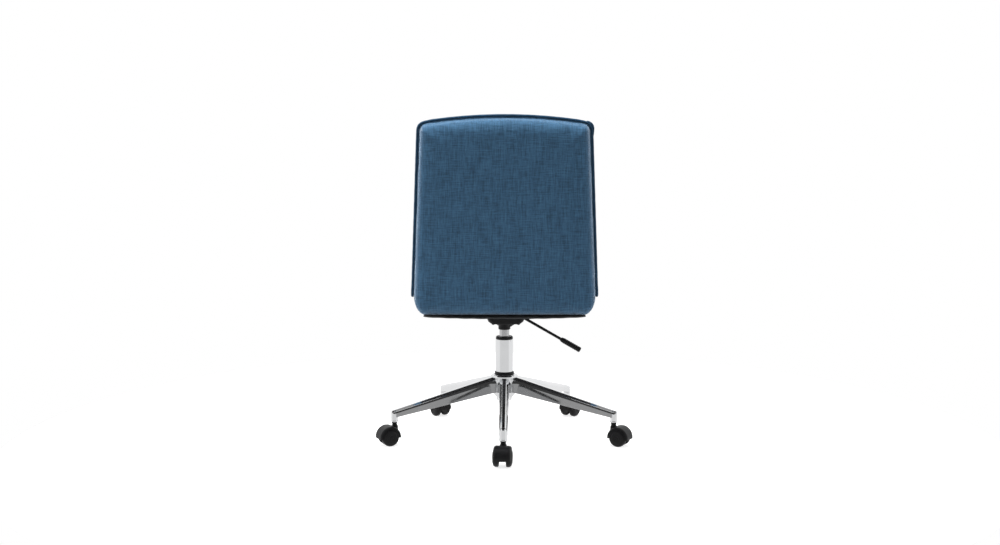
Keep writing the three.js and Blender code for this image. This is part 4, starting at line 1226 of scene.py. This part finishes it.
def finer(obj):
    """One subdivision, made part of the mesh."""
    subdivision = obj.modifiers.new("finer", "SUBSURF")
    subdivision.levels = subdivision.render_levels = 1
    return settled(obj).data


def finish_soft(obj, name, *nodes, fill):
    mesh = obj.data
    bpy.data.objects.remove(obj)
    soft = piece(name, mesh, blue_linen, "seat", *nodes, sharp=80)
    return soft


def seat_cushion():
    low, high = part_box("seat_pad")
    boxing_z = high.z - BOXING_DROP
    form = foam_form("seat_form", frame["nodes"]["seat_pad"].data)
    swell(form, 4.0, 0.005, lambda p: p[:, 2] < low.z + 0.008)
    mesh = finer(form)

    def sewn(points, normals):
        upright = 1 - np.abs(normals[:, 2])
        seam = 0.0022 * bell(points[:, 2] - boxing_z, 0.0024) * np.clip(upright * 2, 0, 1)
        ripple = np.sin(points[:, 0] * 190 + 3 * np.sin(points[:, 1] * 31)) * np.sin(points[:, 1] * 170)
        pucker = 0.0006 * bell(points[:, 2] - boxing_z, 0.012) * ripple * upright
        sit = -0.0030 * bell(points[:, 0], 0.17) * bell(points[:, 1] + 0.03, 0.15) * (normals[:, 2] > 0.6)
        return seam + pucker - sit

    press(mesh, sewn)
    form.data = mesh
    return finish_soft(form, "seat_cushion", "seat_pad", fill=0.8)


def back_cushion():
    form = foam_form("back_form", frame["nodes"]["back_pad"].data)
    face = WELT_DEPTH + WELT_RADIUS

    def held(points):
        return back_place(points)[1] < face + 0.004

    swell(form, 4.0, 0.006, held)
    mesh = finer(form)

    def sewn(points, normals):
        height, depth = back_place(points)
        front = np.clip((depth - face - 0.028) / 0.012, 0, 1) * np.clip(-normals[:, 1] * 1.6 - 0.4, 0, 1)
        inside = np.clip((half_width(height) - 0.030 - np.abs(points[:, 0])) / 0.020, 0, 1)
        channel = sum(bell(height - line, 0.0050) for line in BACK_CHANNELS)
        dip = 0.0070 * channel * front * inside
        pucker = 0.0005 * np.sin(points[:, 0] * 300) * front * inside
        pucker *= sum(bell(height - line, 0.016) for line in BACK_CHANNELS)
        upright = 1 - np.clip(-normals[:, 1], 0, 1)
        seam = 0.0020 * bell(depth - face - 0.026, 0.0024) * np.clip(upright * 2, 0, 1)
        return dip + pucker + seam

    press(mesh, sewn)
    form.data = mesh
    return finish_soft(form, "back_cushion", "back_pad", fill=0.8)


def shell_corner():
    """Fills the corner where the seat box meets the back, so that one cover runs over both."""
    seat_low, seat_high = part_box("seat_shell")
    half = seat_high.x - 0.001
    top, bottom = seam_z - 0.0005, seat_low.z
    side = []
    for i in range(7):
        angle = math.pi / 2 * i / 6
        side.append((
            half - TUCK_WIDTH * (1 - math.sin(angle)),
            bottom + TUCK_HEIGHT * (1 - math.cos(angle)),
        ))
    outline = [*side, (half, top)]
    outline += [(-x, z) for x, z in reversed(outline)]
    rings = [[(x, y, z) for x, z in outline] for y in (seat_high.y - 0.030, REAR_Y - 0.016)]
    return mesh_of(loft(rings))


def rolled(points):
    """The shell's points with its rear edges turned over in a soft roll of foam."""
    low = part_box("seat_shell")[0]
    height, depth = back_place(points)
    x = np.abs(points[:, 0])
    side = half_width(np.maximum(height, 0)) - SHELL_INSET - x
    top = PAD_TOP - SHELL_INSET - x**2 / (2 * TOP_CROWN_RADIUS) - height
    bottom = points[:, 2] - low.z
    tuck_x = (x - (pad_half_width - SHELL_INSET - TUCK_WIDTH)) / TUCK_WIDTH
    tuck_z = (low.z + TUCK_HEIGHT - points[:, 2]) / TUCK_HEIGHT
    tuck = (1 - np.hypot(np.maximum(tuck_x, 0), np.maximum(tuck_z, 0))) * TUCK_WIDTH
    push = np.zeros(len(points))
    edges = ((side, 0.024, 0.022), (top, 0.032, 0.024), (bottom, 0.010, 0.004), (tuck, 0.022, 0.018))
    for distance, width, drop in edges:
        near = np.clip(1 - distance / width, 0, 1)
        push = np.maximum(push, drop * (1 - np.sqrt(1 - near**2)))
    push *= np.clip(1 - depth / WELT_DEPTH, 0, 1)
    inward = np.array([0, -math.cos(LEAN), math.sin(LEAN)])
    return points + push[:, None] * inward


def upholstered_shell():
    low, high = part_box("back_shell")
    nodes = frame["nodes"]
    form = foam_form("shell_form", nodes["back_shell"].data, nodes["seat_shell"].data, shell_corner(),
                     smoothing=6)
    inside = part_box("seat_board")

    def held(points):
        height, depth = back_place(points)
        facing_in = (depth > 0.020) & (height > 0)
        in_pocket = (np.abs(points[:, 0]) < inside[1].x + 0.010) & (points[:, 2] < inside[1].z + 0.006)
        in_pocket &= points[:, 1] < inside[1].y + 0.010
        top_of_box = (points[:, 2] > seam_z - 0.004) & (depth > 0.030)
        return facing_in | in_pocket | top_of_box

    swell(form, 3.0, 0.003, held)
    mesh = finer(form)

    put_points(mesh, rolled(points_of(mesh)))

    def pleated(points, normals):
        depth = back_place(points)[1]
        across = np.abs(points[:, 0]) - (high.x - TUCK_WIDTH)
        down = low.z + TUCK_HEIGHT - points[:, 2]
        corner = (across > 0) & (down > 0)
        angle = np.arctan2(down, np.maximum(across, 1e-6))
        reach = np.hypot(across / TUCK_WIDTH, down / TUCK_HEIGHT)
        rear = np.clip(1 - depth / 0.030, 0, 1)
        folds = sum(bell(angle - turn, 0.055) for turn in (0.75, 1.0, 1.22))
        pleats = 0.0022 * folds * np.clip((reach - 0.55) / 0.3, 0, 1) * corner * rear
        ripple = np.sin(points[:, 0] * 61) * np.sin(points[:, 0] * 23 + 1.0)
        hem = 0.0006 * ripple * np.clip(1 - (points[:, 2] - low.z) / 0.020, 0, 1) * rear
        return pleats + hem

    press(mesh, pleated)
    form.data = mesh
    return finish_soft(form, "upholstered_shell", "back_shell", "seat_shell", fill=0.7)


def arc_points(centre_x, centre_y, radius, start, end, steps):
    turns = [start + (end - start) * i / steps for i in range(steps + 1)]
    return [(centre_x + radius * math.cos(a), centre_y + radius * math.sin(a)) for a in turns]


def edge_path(inset=WELT_INSET, depth=WELT_DEPTH):
    """The corded edge's loop: over the back, down its sides and round the seat. Starts front right."""
    welt_z = seam_z + WELT_RADIUS
    side = pad_half_width - inset
    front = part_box("seat_pad")[0].y + inset
    corner = SEAT_FRONT_CORNER
    right = [Vector((0, front, welt_z)), Vector((side / 2, front, welt_z))]
    right += [Vector((x, y, welt_z)) for x, y in
              arc_points(side - corner, front + corner, corner, -math.pi / 2, 0, 10)]
    turn = 0.010
    turn_y = REAR_Y + (welt_z + turn - seam_z) * math.tan(LEAN) - depth / math.cos(LEAN)
    right += [Vector((side, front + corner + (turn_y - turn - front - corner) * i / 24, welt_z))
              for i in range(1, 24)]
    right += [Vector((side, y, z)) for y, z in
              arc_points(turn_y - turn, welt_z + turn, turn, -math.pi / 2, 0, 6)]
    top = PAD_TOP - inset
    radius = TOP_CORNER_RADIUS
    drop = half_width(top) ** 2 / (2 * TOP_CROWN_RADIUS)
    first_v, corner_v = 0.030, top - drop - radius + 0.002
    for i in range(25):
        v = first_v + (corner_v - first_v) * i / 24
        right.append(back_point(half_width(v) - inset, v, depth))
    centre_x = half_width(corner_v) - inset - radius
    right += [back_point(x, v, depth) for x, v in
              arc_points(centre_x, corner_v, radius, 0.08, math.pi * 0.45, 8)]
    for i in range(1, 13):
        x = (centre_x + 0.002) * (1 - i / 12)
        right.append(back_point(x, top - x * x / (2 * TOP_CROWN_RADIUS), depth))
    left = [Vector((-p.x, p.y, p.z)) for p in reversed(right[1:-1])]
    return right + left


def evenly(path, step, closed=True):
    """The same path with points a fixed step apart, on straight lines between the given ones."""
    ends = [path[0]] if closed else []
    points = np.array([tuple(p) for p in [*path, *ends]])
    lengths = np.concatenate([[0], np.cumsum(np.linalg.norm(np.diff(points, axis=0), axis=1))])
    count = int(lengths[-1] / step)
    places = np.linspace(0, lengths[-1], count, endpoint=not closed)
    return [Vector([np.interp(place, lengths, column) for column in points.T]) for place in places]


def relaxed(path, rounds):
    """The closed path with its corners eased."""
    for _ in range(rounds):
        path = [(path[i - 1] + path[i] * 2 + path[(i + 1) % len(path)]) / 4 for i in range(len(path))]
    return path


def corded_edge():
    path = relaxed(evenly(edge_path(), 0.004), 2)

    def swollen(share):
        i = share * (len(path) - 1)
        return WELT_RADIUS * (0.93 + 0.035 * math.sin(i * 0.9) * math.sin(i * 0.31))

    # The cord is coloured with the darker blue of painted shade.
    mesh = mesh_of(sweep(path, swollen, 14, closed=True))
    piece("corded_edge", mesh, welt_linen_painted_shade, "seat", "welt")

    # A thin tube in the crease behind the cord, in the same painted-shade blue, paints the shade in the
    # crease.
    crease = relaxed(evenly(edge_path(WELT_INSET + 0.0052, WELT_DEPTH - 0.0032), 0.006), 2)
    mesh = mesh_of(sweep(crease, 0.0018, 8, closed=True))
    piece("crease_shade_tube", mesh, welt_linen_painted_shade, "seat")


def cord_join():
    """The cord's two ends lie side by side for a short way at a top corner."""
    most_x, least_z = -half_width(PAD_TOP) + 0.030, seam_z + PAD_TOP - 0.062
    corner = [p for p in edge_path(inset=WELT_INSET - 0.0028) if p.x < most_x and p.z > least_z]
    path = evenly(corner, 0.002, closed=False)
    strand = sweep(path, lambda t: WELT_RADIUS * (0.35 + 0.55 * math.sin(math.pi * t)), 12)
    # The join's strands take the same painted-shade blue.
    piece("corded_edge_join", mesh_of(strand), welt_linen_painted_shade, "seat")


def stitches(name, path, surface, offset):
    """One short thread stitch at each point of a path, laid on the surface nearest to it."""
    tree = BVHTree.FromPolygons([tuple(v.co) for v in surface.vertices],
                                [tuple(p.vertices) for p in surface.polygons])
    shapes = []
    for start, end in zip(path, path[1:]):
        ahead = (end - start).normalized()
        middle, normal = tree.find_nearest(start)[:2]
        middle = middle + normal * offset
        ahead = (ahead - normal * ahead.dot(normal)).normalized()
        line = [middle + ahead * STITCH_LENGTH * (k / 4 - 0.5) - normal * (0.0006 * abs(k / 2 - 1) ** 2)
                for k in range(5)]
        shapes.append(sweep(line, THREAD_RADIUS, 6))
    piece(name, mesh_of(combined(*shapes)), navy_thread, "seat")


def seam_threads(seat, back):
    above_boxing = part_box("seat_pad")[1].z - BOXING_DROP + 0.0030
    edge = evenly(edge_path(0.0, 0.0), STITCH_STEP)
    around_seat = [Vector((p.x, p.y, above_boxing)) for p in edge if p.z < seam_z + 0.045 and p.y < 0.18]
    stitches("seat_stitches_right", [p for p in around_seat if p.x >= 0], seat.data, 0.0003)
    stitches("seat_stitches_left", [p for p in around_seat if p.x < 0], seat.data, 0.0003)
    front = 0.115
    for number, height in enumerate(BACK_CHANNELS, 1):
        reach = half_width(height) - 0.048
        count = int(2 * reach / STITCH_STEP)
        row = [back_point(-reach + 2 * reach * i / count, height, front) for i in range(count + 1)]
        stitches(f"back_stitches_{number}", row, back.data, 0.0004)


def hanging(high, plate_low, plate_high):
    """The height of the cloth under the seat at (x, y): level over the plate, lower between staples."""

    def height(x, y):
        near_plate = max(abs(x) - plate_high.x, y - plate_high.y, plate_low.y - y, 0.0)
        slack = min(1.0, near_plate / 0.04)
        rear = max(0.0, (y - 0.10) / (high.y - 0.10))
        middle = 1 - min(1.0, abs(x / high.x)) ** 2.2
        sag = 0.0012 * slack * middle + 0.0038 * rear * middle
        staple = 0.0006 * (0.5 - 0.5 * math.cos(x * 2 * math.pi / 0.043)) * rear
        ripple = 0.0003 * math.sin(x * 47 + y * 13) * math.sin(y * 39) * slack
        return high.z - 0.0001 - DUST_CLOTH - sag - staple - abs(ripple)

    return height


def dust_cover():
    """Loose black cloth stapled under the seat, as two layers of points joined round the rim."""
    low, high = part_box("dust_cover")
    height = hanging(high, *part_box("seat_plate"))
    count, corner = 96, 0.014
    lines = []
    for j in range(count + 1):
        y = low.y + (high.y - low.y) * (1 - math.cos(math.pi * j / count)) / 2
        near = min(corner, y - low.y, high.y - y)
        half = high.x - corner + math.sqrt(max(0.0, corner**2 - (corner - near) ** 2))
        lines.append([(half * (2 * i / count - 1), y) for i in range(count + 1)])
    points = [Vector((x, y, height(x, y) + layer))
              for layer in (0, DUST_CLOTH) for line in lines for x, y in line]
    row, faces = count + 1, []
    layer_size = row * row
    for j in range(count):
        for i in range(count):
            a = j * row + i
            faces.append([a, a + 1, a + row + 1, a + row])
            faces.append([layer_size + k for k in (a, a + row, a + row + 1, a + 1)])
    rim = [*range(row), *(j * row + count for j in range(1, row))]
    rim += [count * row + i for i in range(count - 1, -1, -1)]
    rim += [j * row for j in range(count - 1, 0, -1)]
    for a, b in zip(rim, rim[1:] + rim[:1]):
        faces.append([a, b, b + layer_size, a + layer_size])
    piece("underside_cloth", mesh_of((points, faces)), dust_cloth, "seat", "dust_cover")


def board_shade_sheet():
    """A black sheet wrapped round the foot of the back board, where the two cushions meet: painted shade for
    the dark gap between them.
    """
    board = points_of(frame["nodes"]["back_board"].data)
    height, depth = back_place(board)
    half, rear, face = np.abs(board[:, 0]).max(), depth.min(), depth.max()
    over, front = half + DUST_CLOTH, face + DUST_CLOTH
    corners = [(half, rear), (over, rear), (over, front), (-over, front), (-over, rear), (-half, rear),
               (-half, face), (half, face)]
    rings = [[back_point(x, height.min() + up, layer) for x, layer in corners] for up in (0.001, 0.080)]
    # The black sheet paints the shade where the two cushions meet.
    piece("back_board_shade_sheet", mesh_of(loft(rings)), dust_cloth, "seat")


# ---------------------------------------------------------------- pieces kept from the model


def kept_nodes():
    looks = {
        bright_steel: ["piston_rod", "thrust_bearing", "retaining_clip", "corner_bracket_left",
                       "corner_bracket_right"]
        + [f"caster_{part}_{i}" for part in ("stem", "axle") for i in CASTER_NUMBERS],
        birch: ["seat_board", "back_board"],
    }
    for look, names in looks.items():
        for name in names:
            mesh = frame["nodes"][name].data
            mesh.materials.clear()
            mesh.materials.append(look)


# ---------------------------------------------------------------- stage


def stage():
    disc = bpy.data.meshes.new("floor")
    disc.from_pydata([tuple(p) for p in circle(1.4, 128, -0.0002)], [], [list(range(128))])
    floor = linked("floor", disc)
    floor.visible_glossy = False
    pale = Look("pale_floor", 0.9, specular_ior_level=0.0)
    pale.set("Base Color", (0.5, 0.5, 0.5, 1))
    pale.set("Emission Color", (1, 1, 1, 1))
    pale.set("Emission Strength", 0.75)
    disc.materials.append(pale.material)


def area_light(name, place, target, size, power):
    """A soft rectangular light that the metal doesn't mirror."""
    data = bpy.data.lights.new(name, "AREA")
    data.shape = "RECTANGLE"
    data.size, data.size_y = size
    data.energy = power
    light = linked(name, data)
    light.visible_glossy = False
    light.location = place
    light.rotation_euler = (Vector(target) - Vector(place)).to_track_quat("-Z", "Y").to_euler()


def sky(nodes, links, height, *stops):
    """Grey levels by the height of the direction, from -1 straight down to 1 straight up."""
    ramp = nodes.new("ShaderNodeValToRGB")
    while len(ramp.color_ramp.elements) < len(stops):
        ramp.color_ramp.elements.new(0.5)
    for element, (place, level) in zip(ramp.color_ramp.elements, stops):
        element.position = (place + 1) / 2
        element.color = (level, level, level, 1)
    links.new(height, ramp.inputs[0])
    return ramp.outputs[0]


def mirrored_room(nodes, links):
    """What the metal mirrors: a bright room, with a dark wall in the sector behind the camera."""

    def step(kind, *values):
        node = nodes.new("ShaderNodeMath")
        node.operation = kind
        for socket, value in zip(node.inputs, values):
            if isinstance(value, bpy.types.NodeSocket):
                links.new(value, socket)
            else:
                socket.default_value = value
        return node.outputs[0]

    direction = nodes.new("ShaderNodeSeparateXYZ")
    links.new(nodes.new("ShaderNodeTexCoord").outputs["Generated"], direction.inputs[0])
    x, y, z = direction.outputs
    height = step("MULTIPLY_ADD", z, 0.5, 0.5)
    level = step("MAXIMUM", step("SQRT", step("ADD", step("MULTIPLY", x, x), step("MULTIPLY", y, y))), 0.25)
    sector = nodes.new("ShaderNodeMapRange")
    sector.interpolation_type = "SMOOTHSTEP"
    links.new(step("DIVIDE", y, level), sector.inputs["Value"])
    sector.inputs["From Min"].default_value = 0.35
    sector.inputs["From Max"].default_value = 0.62
    room = sky(nodes, links, height, (-1, 0.75), (-0.1, 0.90), (0.0, 0.80), (0.15, 0.95), (1, 1.1))
    wall = sky(nodes, links, height, (-1, 0.62), (-0.145, 0.74), (-0.105, 0.31), (0.08, 0.28), (0.2, 0.04),
               (0.85, 0.05), (1, 0.8))
    around = nodes.new("ShaderNodeMixRGB")
    for socket, source in zip(around.inputs, (sector.outputs[0], room, wall)):
        links.new(source, socket)
    return around.outputs[0]


def studio():
    """White to the camera, with the mirrored room and three soft lights for everything else."""
    world = bpy.data.worlds.new("studio")
    bpy.context.scene.world = world
    world.use_nodes = True
    nodes, links = world.node_tree.nodes, world.node_tree.links
    mirrored = nodes.new("ShaderNodeBackground")
    links.new(mirrored_room(nodes, links), mirrored.inputs["Color"])
    seen = nodes["Background"]
    seen.inputs["Color"].default_value = (1, 1, 1, 1)
    mix = nodes.new("ShaderNodeMixShader")
    is_camera = nodes.new("ShaderNodeLightPath").outputs["Is Camera Ray"]
    for socket, source in zip(mix.inputs, (is_camera, mirrored.outputs[0], seen.outputs[0])):
        links.new(source, socket)
    links.new(mix.outputs[0], nodes["World Output"].inputs["Surface"])
    area_light("overhead", (0.2, 0.2, 2.4), (0, 0.1, 0.4), (1.8, 1.4), 145)
    area_light("left_side", (2.6, 0.9, 0.9), (0, 0.1, 0.6), (1.0, 1.6), 55)
    area_light("right_side", (-2.6, 0.9, 0.9), (0, 0.1, 0.6), (1.0, 1.6), 25)


def camera():
    data = bpy.data.cameras.new("camera")
    data.sensor_width = 36
    data.lens = 47.66
    view = linked("camera", data)
    view.location = (0.0125, 3.737, 0.894)
    pitch = math.radians(6.40)
    looking = Vector((0, -math.cos(pitch), -math.sin(pitch)))
    view.rotation_euler = looking.to_track_quat("-Z", "Y").to_euler()
    bpy.context.scene.camera = view
    bpy.context.scene.view_settings.view_transform = "Standard"


camera()
stage()
studio()
base_hub()
base_arms()
casters()
lift_tube()
foot_collar()
top_guide()
lift_cylinder()
mechanism_housing()
tilt_pin()
tension_spring()
tension_knob()
seat_plate()
seat_bolts()
lever_shaft()
lever_handle()
upholstered_shell()
seat = seat_cushion()
back = back_cushion()
corded_edge()
cord_join()
seam_threads(seat, back)
dust_cover()
board_shade_sheet()
kept_nodes()
